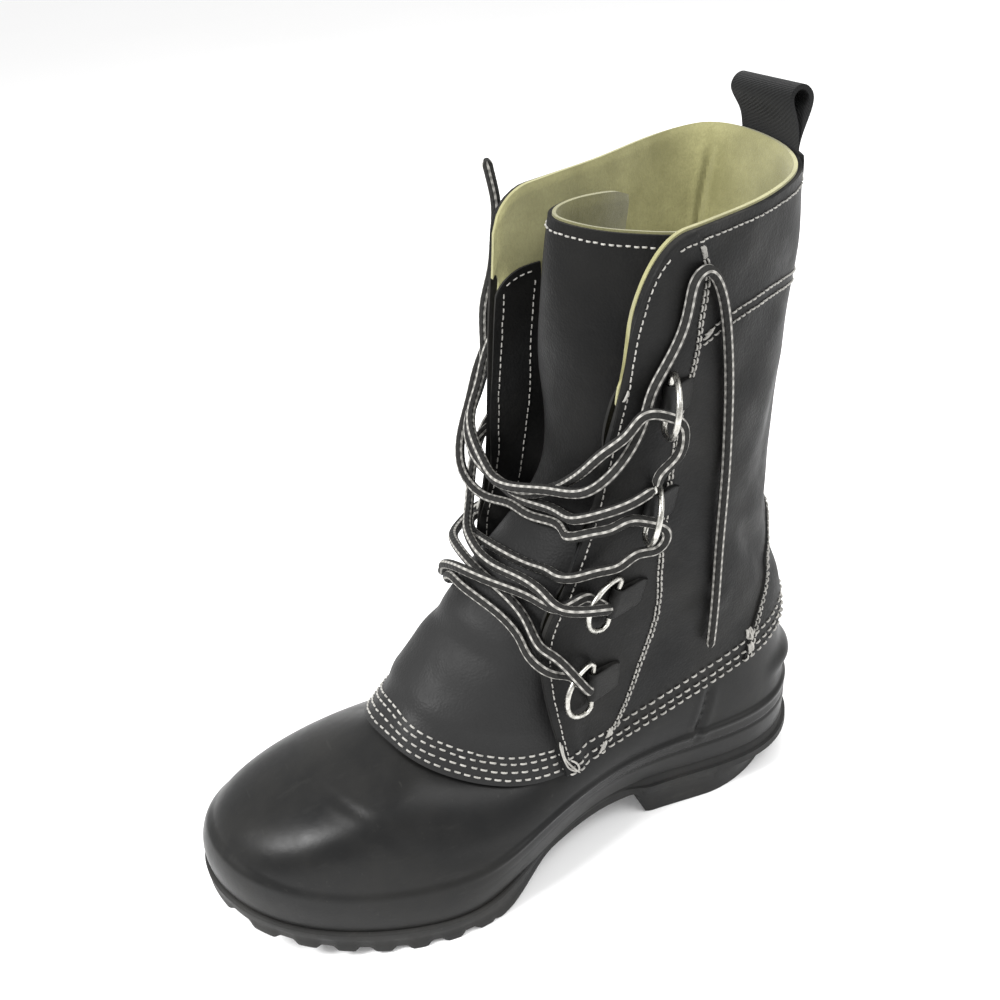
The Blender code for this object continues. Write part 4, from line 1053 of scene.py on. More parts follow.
def leather_finish(name, dark, pale, painted_light=0.0, shine=LEATHER_SHINE):
    """Oiled black leather: fine grain, soft dents and pale patches, and a paler painted light low down if
    asked for.
    """
    made = Finish(name, roughness=0.5, Specular_IOR_Level=shine)
    patches = made.span(made.noise(0.03, detail=4.0), 0.35, 0.7)
    dust = made.span(made.noise(0.004, detail=5.0, rough=0.7), 0.56, 0.8)
    base = made.mix(patches, rgb(dark, COOL), rgb(pale, WARM))
    base = made.mix(made.math("MULTIPLY", dust, 0.3), base, rgb(pale * 2.2, WARM))
    if painted_light:
        # painted light: the colour is painted paler low down and left darker higher up, where the facings
        # shade the tongue
        height = made.add("ShaderNodeSeparateXYZ", (("Vector", made.places),)).outputs[2]
        low = made.span(height, PAINTED_LIGHT_TOP, PAINTED_LIGHT_LOW)
        base = made.mix(low, base, rgb(painted_light))
    made.colour(base)
    made.rough(made.span(made.noise(0.02, detail=4.0), 0.3, 0.7, 0.44, 0.6))
    made.bump(made.noise(0.007, detail=3.0), depth=0.0008, strength=0.35)
    made.bump(made.cells(0.0011), depth=0.00016, strength=0.6)
    made.bump(made.noise(0.0004, detail=2.0), depth=0.00006, strength=0.5)
    return made.material


def rubber_finish(name, dark, pale, sheen):
    """Moulded rubber: faint bloom, wipe marks and fine scratches, its roughness between two values."""
    made = Finish(name, roughness=0.4, Specular_IOR_Level=RUBBER_SHINE)
    bloom = made.span(made.noise(0.035, detail=5.0, rough=0.6), 0.35, 0.72)
    base = made.mix(bloom, rgb(dark, COOL), rgb(pale, WARM))
    wipes = made.span(made.noise(0.006, detail=6.0, rough=0.7, stretch=(1.0, 0.25, 1.0)), 0.58, 0.82)
    scratch = made.span(made.noise(0.0035, detail=4.0, rough=0.6, stretch=(0.12, 1.6, 1.2)), 0.66, 0.74)
    marks = made.math("MAXIMUM", made.math("MULTIPLY", wipes, 0.4), made.math("MULTIPLY", scratch, 0.35))
    made.colour(made.mix(marks, base, rgb(pale * 2.4, WARM)))
    made.rough(made.span(made.noise(0.018, detail=5.0, rough=0.65), 0.3, 0.72, *sheen))
    made.bump(made.noise(0.012, detail=3.0), depth=0.0006, strength=0.25)
    made.bump(made.noise(0.0007, detail=3.0, rough=0.7), depth=0.00007, strength=0.5)
    return made.material


def shaded(colour, share):
    """A darker tone of a colour."""
    return (colour[0] * share, colour[1] * share, colour[2] * share, 1.0)


def felt_finish(name, share=1.0):
    """Olive wool felt: matted fibres and uneven colour, all darkened by a share below 1 as painted shade.
    """
    made = Finish(name, roughness=0.95, Specular_IOR_Level=0.15, Sheen_Weight=0.25, Sheen_Roughness=0.6)
    patches = made.span(made.noise(0.02, detail=4.0), 0.3, 0.7)
    fibres = made.noise(0.0009, detail=6.0, rough=0.75, stretch=(1.0, 1.0, 0.6))
    base = made.mix(patches, shaded(OLIVE_DARK, share), shaded(OLIVE_PALE, share))
    dark = shaded(OLIVE_SHADE, share)
    made.colour(made.mix(made.span(fibres, 0.3, 0.75, 0.0, 0.45), base, dark))
    made.bump(made.noise(0.004, detail=3.0), depth=0.0009, strength=0.35)
    made.bump(fibres, depth=0.0005, strength=0.7)
    return made.material


def lace_finish():
    """Round braided lace, black with pale stripes along it."""
    made = Finish("lace_braid", roughness=0.8, Specular_IOR_Level=0.2)
    turn, along = made.thread_places()
    wave = made.sine(made.math("MULTIPLY", turn, LACE_STRIPES * 2 * math.pi))
    stripe = made.span(wave, STRIPE_EDGE, STRIPE_EDGE + 0.12)
    strands = []
    for way in ("ADD", "SUBTRACT"):
        around = made.math("MULTIPLY", turn, BRAID_TURNS * 2 * math.pi)
        strands.append(made.sine(made.math(way, around, made.math("MULTIPLY", along, BRAID_RUN))))
    braid = made.math("MAXIMUM", *strands)
    fuzz = made.noise(0.0006, detail=4.0, rough=0.7)
    black = made.mix(fuzz, rgb(0.008, COOL), rgb(0.03, WARM))
    pale = made.mix(made.span(braid, -0.2, 1.0), rgb(0.2, WARM), rgb(0.4, WARM))
    made.colour(made.mix(stripe, black, pale))
    made.bump(braid, depth=0.0004, strength=0.6)
    made.bump(fuzz, depth=0.0002, strength=0.5)
    return made.material


def thread_finish():
    """Waxed off-white sewing thread, a little soiled."""
    made = Finish("thread_white", roughness=0.6, Specular_IOR_Level=0.35)
    soil = made.span(made.noise(0.006, detail=4.0, rough=0.7), 0.35, 0.7)
    made.colour(made.mix(soil, rgb(0.44, WARM), rgb(0.24, WARM)))
    twist = made.noise(0.0005, detail=2.0, rough=0.6, stretch=(1.0, 1.0, 2.0))
    made.bump(twist, depth=0.0002, strength=0.8)
    return made.material


def steel_finish():
    """Bright drawn steel wire, a little dulled."""
    made = Finish("steel_wire", roughness=0.25, metallic=1.0)
    dull = made.span(made.noise(0.003, detail=4.0, rough=0.7), 0.4, 0.75)
    made.colour(made.mix(dull, STEEL_BRIGHT, STEEL_DULL))
    made.rough(made.span(made.noise(0.001, detail=4.0, rough=0.7), 0.3, 0.75, 0.16, 0.42))
    made.bump(made.noise(0.0012, detail=3.0), depth=0.00008, strength=0.5)
    return made.material


def webbing_finish():
    """Black herringbone webbing."""
    made = Finish("webbing_black", roughness=0.8, Specular_IOR_Level=0.12, Sheen_Weight=0.04)
    across, along = made.thread_places()
    warp = made.sine(made.math("MULTIPLY", across, 2 * math.pi))
    weft = made.sine(made.math("ADD", made.math("MULTIPLY", along, 2 * math.pi),
                               made.math("MULTIPLY", across, math.pi)))
    weave = made.math("MULTIPLY", warp, weft)
    made.colour(made.mix(made.span(weave, -1.0, 1.0), rgb(0.006, COOL), rgb(0.018, COOL)))
    made.bump(weave, depth=0.0003, strength=0.7)
    made.bump(made.noise(0.0008, detail=3.0, rough=0.7), depth=0.00012, strength=0.5)
    return made.material


# ---------------------------------------------------------------- rubber foot
def lug_depth(y, across):
    """Height of the tread over the lugs' faces: gaps between lugs, cuts in the heel and a channel."""
    phase = np.mod(FIRST_LUG_Y - y, LUG_PITCH)
    rise = smooth(phase, 0.0, LUG_FLANK) * (1 - smooth(phase, LUG_TOP, LUG_TOP + LUG_FLANK))
    fore = smooth(-y, -FIRST_LUG_Y, -FIRST_LUG_Y + 1)
    toe = smooth(-y, LUGS * LUG_PITCH - FIRST_LUG_Y, LUGS * LUG_PITCH - FIRST_LUG_Y + 2)
    gap = (1 - rise) * fore * (1 - toe)
    depth = TREAD_DEPTH * gap
    cut = smooth(np.cos(2 * np.pi * (y - BREAST_Y) / HEEL_CUT_PITCH + 1.6), 0.62, 0.86)
    inside = 1 - smooth(np.abs(across), 0.72, 0.8)
    heel = smooth(y, BREAST_Y + 6, BREAST_Y + 9) * (1 - smooth(y, HEEL_Y - 17, HEEL_Y - 14))
    depth += HEEL_CUT * cut * inside * heel
    spine = (1 - smooth(np.abs(across), 0.07, 0.12)) * fore * (1 - toe) * (1 - gap)
    return depth + SPINE_CUT * spine


def edge_profile(edge, outward, profile):
    """Rows of points beside an edge, from the profile's ways out and heights."""
    rows = []
    for out, height in profile:
        row = edge + outward * np.broadcast_to(out, len(edge))[:, None]
        row[:, 2] = height
        rows.append(row)
    return np.stack(rows, axis=1)


def slab(name, sides, count, finish, under=None):
    """Closed body between the profiles of its outer and inner side, filled in with rows across.

    `under` gives the height of the face between the profiles' last points, from a place along the
    foot and a place across, -1 to 1."""
    outer, inner = sides
    share = np.linspace(0, 1, count)[None, 1:-1, None]
    last = outer[:, -1:] + (inner[:, -1:] - outer[:, -1:]) * share
    if under is not None:
        last[..., 2] = under(last[..., 1], 2 * share[..., 0] - 1)
    first = inner[:, :1] + (outer[:, :1] - inner[:, :1]) * share
    profile = np.concatenate([outer, last, inner[:, ::-1], first], axis=1)
    faces = grid_faces(len(outer), profile.shape[1], False, True)
    made = make_piece(name, profile.reshape(-1, 3), faces, [finish])
    smooth_mesh(made.data, weld=True)
    return made


def sole_side(turn):
    """Profile of one side of the sole, from its top inside the shell outward and down to the tread."""
    edge, outward = foot_edge(turn)
    y = edge[:, 1]
    gap = LUG_EDGE * lug_depth(y, np.ones(len(y)))
    inset = gap / TREAD_DEPTH * SCALLOP
    top = edge[:, 2] - GAP
    bottom = sole_under(y) + gap
    thick = top - bottom
    ledge, run_in = sole_ledge(y)
    foot = ledge - run_in - inset
    groove = HEEL_GROOVE * smooth(y, 30, 60)
    profile = (
        (-SHELL_WALL, top),
        (ledge - 1.1 - groove * 0.5, top),
        (ledge - 0.4 - groove * 0.6, top - 0.4),
        (ledge - groove * 0.4, top - 0.8 - groove),
        (ledge, top - 1.2 - groove),
        (ledge, bottom + thick * 0.66 - groove * 0.4),
        (ledge - 0.6 - run_in * 0.4, bottom + thick * 0.55),
        (ledge - 0.4 - run_in * 0.7 - inset * 0.5, bottom + thick * 0.35),
        (foot - 0.2, bottom + thick * 0.15),
        (foot - 0.4, bottom + 0.35),
        (foot - 1.2, bottom),
    )
    return edge_profile(edge, outward, profile)


def tread(y, across):
    """Height of the sole's lugged underside."""
    return sole_under(y) + lug_depth(y, across)


def outsole(finish):
    """Lugged rubber sole with toe spring, raised waist and heel block."""
    outer, inner = [sole_side(turn) for turn in turns_at(sole_stations(SOLE_SPACING))]
    # The two sides meet at the heel's back and at the tip of the toe.
    for end in (0, -1):
        outer[end] = inner[end] = (outer[end] + inner[end]) / 2
    made = slab("sole_lugged", (outer, inner), SOLE_ACROSS, finish, tread)
    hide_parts("outsole")


def rubber_shell(surface, rubber, felt):
    """Hollow rubber foot with its bonded felt inside."""
    turns = surface.first[:-1]
    outer = surface.points[:-1]
    # The inner face follows the plain shell, without the bands and creases of the outer face.
    plain = np.concatenate([shell_paths(turns, surface.second[:-2]), outer[:, -2:]], axis=1)
    inner = plain - surface.normals[:-1] * SHELL_WALL
    # Its lowest row lies level with the outer face's.
    inner[:, 0] = plain[:, 0] - foot_edge(turns)[1] * SHELL_WALL
    inner[:, 0, 2] = outer[:, 0, 2]
    made = layer("shell_rubber", outer, inner, [rubber, felt, rubber], closed=True)
    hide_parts("rubber_shell")


def insole(finish):
    """Felt insole on the sole inside the shell."""
    sides = []
    for turn in turns_at(sole_stations(INSOLE_SPACING)):
        edge, outward = foot_edge(turn)
        profile = [(out - SHELL_WALL - INSOLE_GAP, edge[:, 2] + rise) for out, rise in INSOLE_EDGE]
        sides.append(edge_profile(edge, outward, profile))
    made = slab("insole_felt", sides, INSOLE_ACROSS, finish)
    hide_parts("insole")


# ---------------------------------------------------------------- leather and felt
def felt_start(u):
    """Height round the shaft where its felt begins, as a share of the shaft's rise."""
    return (LAP + FELT_START + FELT_START_FRONT * tuck(u)) / SHAFT_RISE


def hide_of(name, surface, grid_a, grid_b, thick, finishes):
    """The leather of a surface: a layer of this thickness under its face."""
    return layer(name, surface.at(grid_a, grid_b), surface.at(grid_a, grid_b, -thick), finishes)


def rim_move(outside, v):
    """How the felt's points move up past the leather's top edge."""
    return unit(np.gradient(outside, axis=1)) * (RIM_LIP * smooth(v, *RIM_RISE))[..., None]


def shaft_layers(surface, leather, edge, felt):
    """The shaft's leather and the felt inside it."""
    u, v = [np.linspace(0, 1, count) for count in SHAFT_LAYER_GRID]
    grid_u, grid_v = np.meshgrid(u, v, indexing="ij")
    hide = hide_of("shaft_leather", surface, grid_u, grid_v, LEATHER, [leather, leather, edge])
    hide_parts("shaft")
    low = felt_start(u)[:, None]
    felt_v = low + (1 - low) * v[None, :]
    inset = FELT_INSET * (1 - smooth(felt_v * SHAFT_RISE, *FELT_FREE)) / SHAFT_GIRTH
    grid_u = inset + (1 - 2 * inset) * grid_u
    rim = smooth(felt_v, *RIM_ROUND)
    ends = 1 - smooth(np.minimum(u, 1 - u), 0.0, 0.01)[:, None]
    places = np.stack([grid_u * SHAFT_GIRTH, felt_v * SHAFT_RISE], axis=-1)
    thin = FELT_ROUND * np.maximum(rim, ends) - troughs(places, FELT_FOLDS)
    outside = surface.at(grid_u, felt_v, -LEATHER - SEAM)
    inside = surface.at(grid_u, felt_v, thin - SHAFT_WALL - FELT_PUFF)
    move = felt_move(grid_u, felt_v, outside)
    lining = layer("shaft_felt", outside + move, inside + move, [felt, felt, felt])


def felt_move(grid_u, grid_v, outside):
    """How the felt moves out past the leather, above the collar and at the outer front corner."""
    corner = CORNER_LIP * smooth(grid_v * SHAFT_RISE, *FELT_FREE) * (1 - smooth(grid_u, 0.0, 0.07))
    along = unit(np.gradient(outside, axis=0))
    return rim_move(outside, grid_v) - along * corner[..., None]


def tongue_layers(surface, leather, edge, felt):
    """The vamp and tongue's leather with felt behind it."""
    across, v = [np.linspace(0, 1, count) for count in TONGUE_LAYER_GRID]
    grid_a, grid_v = np.meshgrid(across, v, indexing="ij")
    hide = hide_of("tongue_leather", surface, grid_a, grid_v, TONGUE_LEATHER, [leather, leather, edge])
    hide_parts("tongue")
    low = (LAP + TONGUE_FELT_START) / TONGUE_LENGTH
    felt_v = low + (1 - low) * grid_v
    rim = 0.6 * smooth(felt_v, *RIM_ROUND)
    outside = surface.at(grid_a, felt_v, -TONGUE_LEATHER - SEAM)
    inside = surface.at(grid_a, felt_v, rim - TONGUE_WALL - FELT_PUFF)
    move = rim_move(outside, felt_v)
    lining = layer("tongue_felt_painted_shade", outside + move, inside + move, [felt, felt, felt])


def strip(name, surface, first, last, bounds, base, thick, finishes, counts):
    """Thin strip lying on the shaft between two heights and two lines of (height, place) knots."""
    s = eased(counts[0], STRIP_EDGE)
    t = eased(counts[1], STRIP_END)
    grid_s, grid_t = np.meshgrid(s, t, indexing="ij")
    height = bounds[0] + (bounds[1] - bounds[0]) * grid_t
    start = line_at(first, height)
    place = start + (line_at(last, height) - start) * grid_s
    lift = np.minimum(edge_lift(grid_s, STRIP_EDGE, thick), edge_lift(grid_t, STRIP_END, thick))
    face = surface.at(place, height / SHAFT_RISE, base + lift)
    back = surface.at(place, height / SHAFT_RISE, base - SUNK * np.sign(thick))
    return layer(name, face, back, finishes)


def line_at(knots, height):
    """Place of a line at each height, from its (height, place) knots."""
    table = np.array(knots, float)
    flat = np.clip(height, table[0, 0], table[-1, 0]).ravel()
    return cubic(table[:, 0], table[:, 1], flat).reshape(height.shape)


def mirrored(knots):
    """The same line on the inner side of the shaft."""
    return tuple((height, 1 - place) for height, place in knots)


def overlays(surface, leather, edge):
    """Facings down both front edges, the facings' inner faces, which reach on as painted shadow, and the
    counter patch.
    """
    finishes = [leather, leather, edge]
    for side, way in (("outer", tuple), ("inner", mirrored)):
        made = strip(f"facing_{side}", surface, way(FACING_FRONT_EDGE), way(FACING_REAR),
                     FACING_BOUNDS, 0.0, FACING, finishes, FACING_GRID)
        # painted shadow: past its rear row of stitches the inner facing's black stands in for shadow beside
        # the tongue
        made = strip(f"facing_lining_and_painted_shadow_{side}", surface, way(INSIDE_FRONT), way(INSIDE_REAR),
                     INSIDE_BOUNDS, -SHAFT_WALL - FELT_PUFF, -FACING, finishes, LINING_GRID)
    counter_patch(surface, finishes)


def counter_patch(surface, finishes):
    """Leather patch round the back of the shaft, low at its ends and high in the middle."""
    knots = np.array(COUNTER_EDGE, float)
    low, end = knots[0]
    s = np.linspace(end, 1 - end, COUNTER_GRID[0])
    t = eased(COUNTER_GRID[1], COUNTER_ROUND)
    top = np.interp(np.minimum(s, 1 - s), knots[:, 1], knots[:, 0])
    grid_s, grid_t = np.meshgrid(s, t, indexing="ij")
    height = low + (np.maximum(top, low + 0.4)[:, None] - low) * grid_t
    lift = edge_lift(grid_t, COUNTER_ROUND, COUNTER)
    face = surface.at(grid_s, height / SHAFT_RISE, lift)
    back = surface.at(grid_s, height / SHAFT_RISE, np.full(lift.shape, -SUNK))
    made = layer("counter_patch", face, back, finishes)


def pull_loop(finish):
    """Webbing loop above the back of the collar, its outer end sewn down over the leather."""
    outline = np.array((*LOOP_OUTLINE, *LOOP_SEWN_END), float)
    travel = travel_along(outline)
    outer = cubic(travel, outline, np.linspace(0, travel[-1], STRAP_GRID[0]))
    along = unit(np.gradient(outer, axis=0))
    eye = outer + STRAP * np.column_stack([-along[:, 1], along[:, 0]])
    rim = SHAFT_LEVELS["collar"][0]
    fold_way = unit(np.array(LOOP_FOLD_WAY))
    fold_out = np.cross(UP, fold_way)
    top = np.array([*LOOP_TOP, 0.0])
    stations = np.linspace(-0.5, 0.5, STRAP_GRID[1]) * STRAP_WIDTH

    def seats(height):
        """Places on the shaft at this height, across the strap, with the ways out."""
        return [shaft_spot(LOOP_ROUND - s / SHAFT_GIRTH, height)[:2] for s in stations]

    rim_seats = seats(rim)

    def grid(profile):
        """The strap's face along a profile, turning from the shaft's way to its fold's."""
        rows = []
        for height, out_by in profile:
            row = []
            rise = max(height, 0.0)
            for s, (spot, out) in zip(stations, rim_seats if height >= 0 else seats(rim + height)):
                low = spot + unit(out * [1, 1, 0]) * out_by + UP * rise
                high = top + fold_way * s + fold_out * out_by + UP * (rim + height)
                lift = float(smooth(height, 0.0, LOOP_BLEND))
                row.append(low * (1 - lift) + high * lift)
            rows.append(row)
        return np.array(rows)

    face, back = grid(outer), grid(eye)
    made = layer("pull_strap", face, back, [finish, finish, finish])
    add_strap_uv(made)
    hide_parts("pull_loop")


def add_strap_uv(piece):
    """Weave places in threads: across the strap and along it."""
    rows, columns = STRAP_GRID
    count = rows * columns
    index = np.array([loop.vertex_index for loop in piece.data.loops]) % count
    along, across = np.divmod(index, columns)
    uv = np.column_stack([across / columns * STRAP_WIDTH, along / rows * STRAP_LENGTH]) / WEAVE
    add_uv(piece.data, uv)


# ---------------------------------------------------------------- rings, tabs and laces
def d_ring(name, node, spot, finish):
    """Bent wire ring: a straight bar in the tab and a round bow."""
    centre, _, _, up, reach_way = spot
    half = RING_BAR / 2 - RING_WIRE / 2
    reach = RING_REACH - RING_WIRE / 2
    points = [centre + up * half * k for k in np.linspace(-0.86, 0.86, 9)]
    for a in np.radians(np.linspace(84, -84, 29)):
        points.append(centre + up * half * math.sin(a) + reach_way * reach * math.cos(a) ** 0.8)
    path = np.array(points)
    ahead = unit(np.roll(path, -1, axis=0) - np.roll(path, 1, axis=0))
    flat = unit(np.cross(up, reach_way))
    side = unit(np.cross(ahead, flat))
    rings = path[:, None] + RING_WIRE / 2 * ring(flat, side, RING_SIDES)
    faces = grid_faces(len(path), RING_SIDES, True, True)
    made = make_piece(name, rings.reshape(-1, 3), faces, [finish])
    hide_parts(node)


def ring_tab(name, node, spot, tail, finish):
    """Leather tab folded round a ring's bar, pressed flat behind it."""
    centre, forward, out, up, _ = spot
    bore = RING_WIRE / 2 + GAP

    def bend(radius, angles):
        """Points round the bar at these angles in degrees."""
        angles = np.radians(angles)
        return [centre + forward * radius * math.cos(a) + out * radius * math.sin(a) for a in angles]

    end, end_out = tail[:2]
    inner = bend(bore, (*TAB_BACK, *TAB_FOLD))
    outer = [end + end_out * (TAB_SEAT + thick) + forward * ahead for thick, ahead in TAB_END]
    outer += bend(bore + TAB_FINE, TAB_FOLD)

    def grid(profile, other):
        """The profile's rows across the tab, drawn in towards its middle at both sides."""
        middle = (np.array(profile) + np.array(other)) / 2
        return np.array([[m + (p - m) * k + up * place * TAB_WIDTH for place, k in TAB_ACROSS]
                         for p, m in zip(profile, middle)])

    made = layer(name, grid(outer, inner), grid(inner, outer), [finish, finish, finish], closed=True)
    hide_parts(node)


def rings_and_tabs(steel, leather):
    """Four D-rings in their tabs on each side."""
    spots = ring_spots()
    for side, number, u, height, _ in RINGS:
        spot = spots[side, number]
        back = TAB_LENGTH / SHAFT_GIRTH * (1 if side == "out" else -1)
        tail = shaft_spot(u + back, height)
        ring_tab(f"tab_{side}_{number}", f"ring_tab_{side}_{number}", spot, tail, leather)
        d_ring(f"ring_{side}_{number}", f"lace_ring_{side}_{number}", spot, steel)


def laces(finish):
    """The crossings, and the two slack ends, which are free cords."""
    for name, node, runs in LACE_PIECES:
        path = smooth_route(lace_route(runs), LACE_FINE)
        points, faces, uv = tube_mesh(path, LACE / 2, LACE_SIDES)
        made = make_piece(name, points, faces, [finish], uv=uv)
        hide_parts(node)


# ---------------------------------------------------------------- thread
class Thread:
    """Stitches gathered into one joined mesh."""

    def __init__(self, name, finish):
        self.name = name
        self.finish = finish
        self.points = []
        self.faces = []
        self.count = 0

    def put(self, centre, normal, across, radius):
        """Add stitches given as rings of centres (stitch, ring, 3) with their frames."""
        stitches, rings = centre.shape[:2]
        points = centre[:, :, None] + ring(normal, across, THREAD_SIDES) * radius[None, :, None, None]
        starts = self.count + np.arange(stitches)[:, None, None] * rings * THREAD_SIDES
        faces = grid_faces(rings, THREAD_SIDES, False, True)
        self.faces += (faces + starts).reshape(-1, 4).tolist()
        for end in (0, (rings - 1) * THREAD_SIDES):
            self.faces += (end + np.arange(THREAD_SIDES) + starts[:, 0]).tolist()
        self.points.append(points.reshape(-1, 3))
        self.count += stitches * rings * THREAD_SIDES

    def sew(self, surface, route, rise, stitch, base=0.0, side=1.0):
        """Stitches along a route of (place, height) knots on a surface of this rise.

        They lie off the surface by base, which is a number of millimetres or a function of places
        and heights, and face out (side 1) or in (side -1)."""
        pitch, share, radius = stitch
        route = np.array(route, float)
        knots = travel_along(route * (SHAFT_GIRTH, 1.0))
        place, height = cubic(knots, route, np.linspace(0, knots[-1], ROUTE_STEPS)).T
        lift = base(place, height) if callable(base) else np.full(len(place), base)
        path = surface.at(place, height / rise, lift)
        normal = surface.normal(place, height / rise) * side
        travel = travel_along(path)
        count = max(int(travel[-1] / pitch), 1)
        start = (np.arange(count) + 0.5 * (1 - share)) * travel[-1] / count
        start = start + RNG.normal(0, STITCH_SHIFT, count)
        length = pitch * share * (1 + RNG.normal(0, STITCH_STRETCH, count))
        where = start[:, None] + length[:, None] * STITCH_PLACES[None, :]
        centre = read_path(travel, path, where)
        up = unit(read_path(travel, normal, where))
        across = unit(np.cross(unit(np.gradient(centre, axis=1)), up))
        wander = RNG.normal(0, STITCH_WANDER, (count, 1, 1))
        centre = centre + up * (STITCH_LIFTS * radius)[None, :, None] + across * wander
        self.put(centre, up, across, radius * STITCH_SIZES)

    def strand(self, points):
        """One loose thread through points of the boot."""
        knots = travel_along(np.array(points))
        path = cubic(knots, points, np.linspace(0, knots[-1], max(int(knots[-1] / STRAND_STEP), 4)))
        ahead = unit(np.gradient(path, axis=0))
        up = unit(np.cross(ahead, unit(np.array([0.31, 0.52, 0.2]))))
        across = np.cross(ahead, up)
        size = np.full(len(path), STRAND_RADIUS)
        size[0] = size[-1] = STRAND_RADIUS * 0.5
        self.put(path[None], up[None], across[None], size)

    def make(self):
        """Make the joined mesh."""
        made = make_piece(self.name, np.vstack(self.points), self.faces, [self.finish])


def back_tack(thread, surface, ends, turns):
    """A thick bar of thread laid back and forth between two places."""
    ends = np.array(ends, float)
    for k in range(turns):
        shift = (k - (turns - 1) / 2) * TACK_SPREAD
        route = ends + RNG.normal(0, TACK_TILT, (2, 1)) + np.array([[shift / SHAFT_GIRTH, 0.0]])
        thread.sew(surface, route, SHAFT_RISE, TACK_STITCH, base=cover)


def cover(u, height):
    """How far stitches lie over the shaft's leather, on the facings and the counter patch too."""
    edge = np.minimum(u, 1 - u)
    facing = (line_at(FACING_REAR, height) - edge) * SHAFT_GIRTH
    knots = np.array(COUNTER_EDGE, float)
    counter = np.interp(edge, knots[:, 1], knots[:, 0]) - height
    counter = np.where(edge < knots[0, 1], -1.0, counter)
    over = np.maximum(FACING * smooth(facing, *COVER_RAMP), COUNTER * smooth(counter, *COVER_RAMP))
    return over + COVER_LIFT


def other_side(route):
    """The same row on the other side of the shaft."""
    return [(1 - u, h) for u, h in route]


def side_rows():
    """Rows that each side of the shaft has: route and stitch."""
    rows = []
    for shift in FACING_ROWS:
        rows.append(([(u - shift / SHAFT_GIRTH, h) for h, u in FACING_REAR[1:-1]], FACING_STITCH))
    for shift in COUNTER_ROWS:
        rows.append(([(u + shift / SHAFT_GIRTH, h) for h, u in COUNTER_EDGE[:-1]], COUNTER_STITCH))
    rows.append((FACING_FRONT, EDGE_STITCH))
    return rows


def ring_rows():
    """Rows that run right round the shaft: route and stitch."""
    rows = [([(u, h + rise) for u, h in BAND], BAND_STITCH) for rise in BAND_ROWS]
    around = np.linspace(LAP_ROW_START, 1 - LAP_ROW_START, 41)
    rows += [([(u, height) for u in around], LAP_STITCH) for height in LAP_ROWS]
    rows.append((RIM_ROW, RIM_STITCH))
    return rows


def shaft_thread(surface, finish):
    """Every row of stitches on the shaft."""
    thread = Thread("stitches_shaft", finish)
    for mirror in (list, other_side):
        for route, stitch in side_rows():
            thread.sew(surface, mirror(route), SHAFT_RISE, stitch, base=cover)
        for ends, turns in TACKS:
            back_tack(thread, surface, mirror(ends), turns)
        for row in INSIDE_ROWS:
            thread.sew(surface, mirror(row), SHAFT_RISE, INSIDE_STITCH,
                       base=-SHAFT_WALL - FELT_PUFF - FACING, side=-1.0)
    for route, stitch in ring_rows():
        thread.sew(surface, route, SHAFT_RISE, stitch, base=cover)
    for points in LOOSE_THREADS:
        thread.strand(points)
    thread.make()


def vamp_thread(surface, finish):
    """The rows round the throat and the row along the tongue's top."""
    thread = Thread("stitches_vamp", finish)
    for height in THROAT_ROWS:
        row = [(a, height) for a in np.linspace(0, 1, 31)]
        thread.sew(surface, row, TONGUE_LENGTH, LAP_STITCH)
    top = [(a, TONGUE_TOP_ROW) for a in np.linspace(0.02, 0.98, 21)]
    thread.sew(surface, top, TONGUE_LENGTH, TONGUE_STITCH)
    thread.make()


# ---------------------------------------------------------------- floor, lights and camera
def floor():
    """Large pale floor under the boot."""
    finish = Finish("floor_pale", roughness=0.9, Emission_Color=WHITE, Emission_Strength=FLOOR_GLOW)
    finish.colour(finish.mix(finish.noise(0.4, detail=3.0), rgb(FLOOR_TONES[0]), rgb(FLOOR_TONES[1])))
    mesh = bpy.data.meshes.new("floor")
    half = FLOOR_SIZE / 2
    corners = [(-half, -half, 0), (half, -half, 0), (half, half, 0), (-half, half, 0)]
    mesh.from_pydata(corners, [], [(0, 1, 2, 3)])
    mesh.materials.append(finish.material)
    made = bpy.data.objects.new("floor", mesh)
    bpy.context.scene.collection.objects.link(made)


def surroundings():
    """Even white light from all round."""
    world = bpy.data.worlds.new("surroundings")
    world.use_nodes = True
    colour, strength = world.node_tree.nodes["Background"].inputs[:2]
    colour.default_value = WHITE
    strength.default_value = WORLD_LIGHT
    bpy.context.scene.world = world


def lights():
    """Soft lights round the boot, all turned to its middle."""
    for name, azimuth, elevation, distance, size, power in LIGHTS:
        data = bpy.data.lights.new(name, "AREA")
        data.shape = "RECTANGLE"
        data.size, data.size_y = size
        data.energy = power
        made = bpy.data.objects.new(name, data)
        back = way_back(azimuth, elevation)
        made.location = LIGHT_TARGET + back * distance
        made.rotation_mode = "QUATERNION"
        made.rotation_quaternion = (-back).to_track_quat("-Z", "Y")
        bpy.context.scene.collection.objects.link(made)


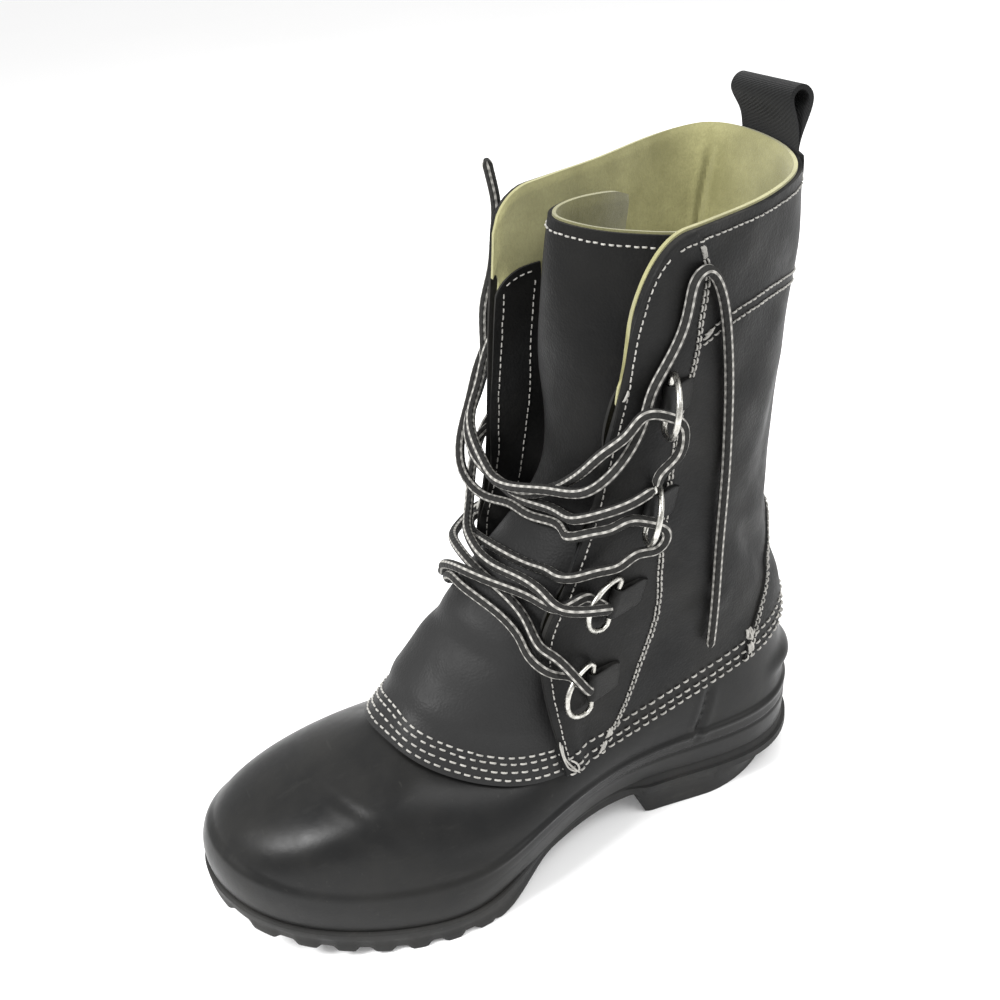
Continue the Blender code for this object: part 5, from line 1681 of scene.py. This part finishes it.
def way_back(azimuth, elevation):
    """Unit way from the boot towards a camera or light at these angles in degrees."""
    a, e = math.radians(azimuth), math.radians(elevation)
    return Vector((math.sin(a) * math.cos(e), -math.cos(a) * math.cos(e), math.sin(e)))


def camera():
    """The photo's viewpoint, turned to the one boot."""
    data = bpy.data.cameras.new("camera")
    data.lens = CAMERA_LENS
    data.sensor_width = SENSOR_WIDTH
    data.clip_start = CLIP_START
    made = bpy.data.objects.new("camera", data)
    bpy.context.scene.collection.objects.link(made)
    back = way_back(CAMERA_AZIMUTH, CAMERA_ELEVATION)
    turn = (-back).to_track_quat("-Z", "Y").to_matrix().to_4x4()
    roll = Matrix.Rotation(math.radians(CAMERA_ROLL), 4, "Z")
    made.matrix_world = Matrix.Translation(placed(CAMERA_PLACE)) @ turn @ roll
    bpy.context.scene.camera = made
    bpy.context.scene.view_settings.view_transform = "Standard"


def main():
    """Set up the camera, build every piece and light the scene."""
    camera()
    laces(lace_finish())
    leather = leather_finish("leather_black", dark=0.007, pale=0.013)
    # painted shade: the vamp and tongue's leather is a darker copy of the black leather for the facings'
    # shade, painted paler low down as painted light
    vamp_leather_painted_shade = leather_finish("leather_vamp_painted_shade", dark=0.003, pale=0.006, painted_light=0.02, shine=0.14)
    overlay_leather = leather_finish("leather_overlay", dark=0.006, pale=0.011)
    cut_edge = leather_finish("leather_cut_edge", dark=0.016, pale=0.04, shine=0.0)
    shell_rubber = rubber_finish("rubber_upper", dark=0.007, pale=0.013, sheen=(0.3, 0.44))
    sole_rubber = rubber_finish("rubber_sole", dark=0.012, pale=0.024, sheen=(0.45, 0.66))
    felt = felt_finish("felt_olive")
    # painted shade: a darker copy of the felt for the tongue
    tongue_felt_painted_shade = felt_finish("felt_tongue_painted_shade", TONGUE_FELT_PAINTED_SHADE)
    thread = thread_finish()
    steel = steel_finish()
    shaft = shaft_surface()
    tongue = tongue_surface()
    outsole(sole_rubber)
    rubber_shell(shell_surface(), shell_rubber, felt)
    insole(felt)
    shaft_layers(shaft, leather, cut_edge, felt)
    tongue_layers(tongue, vamp_leather_painted_shade, cut_edge, tongue_felt_painted_shade)
    overlays(shaft, overlay_leather, cut_edge)
    rings_and_tabs(steel, overlay_leather)
    pull_loop(webbing_finish())
    shaft_thread(shaft, thread)
    vamp_thread(tongue, thread)
    floor()
    surroundings()
    lights()


main()
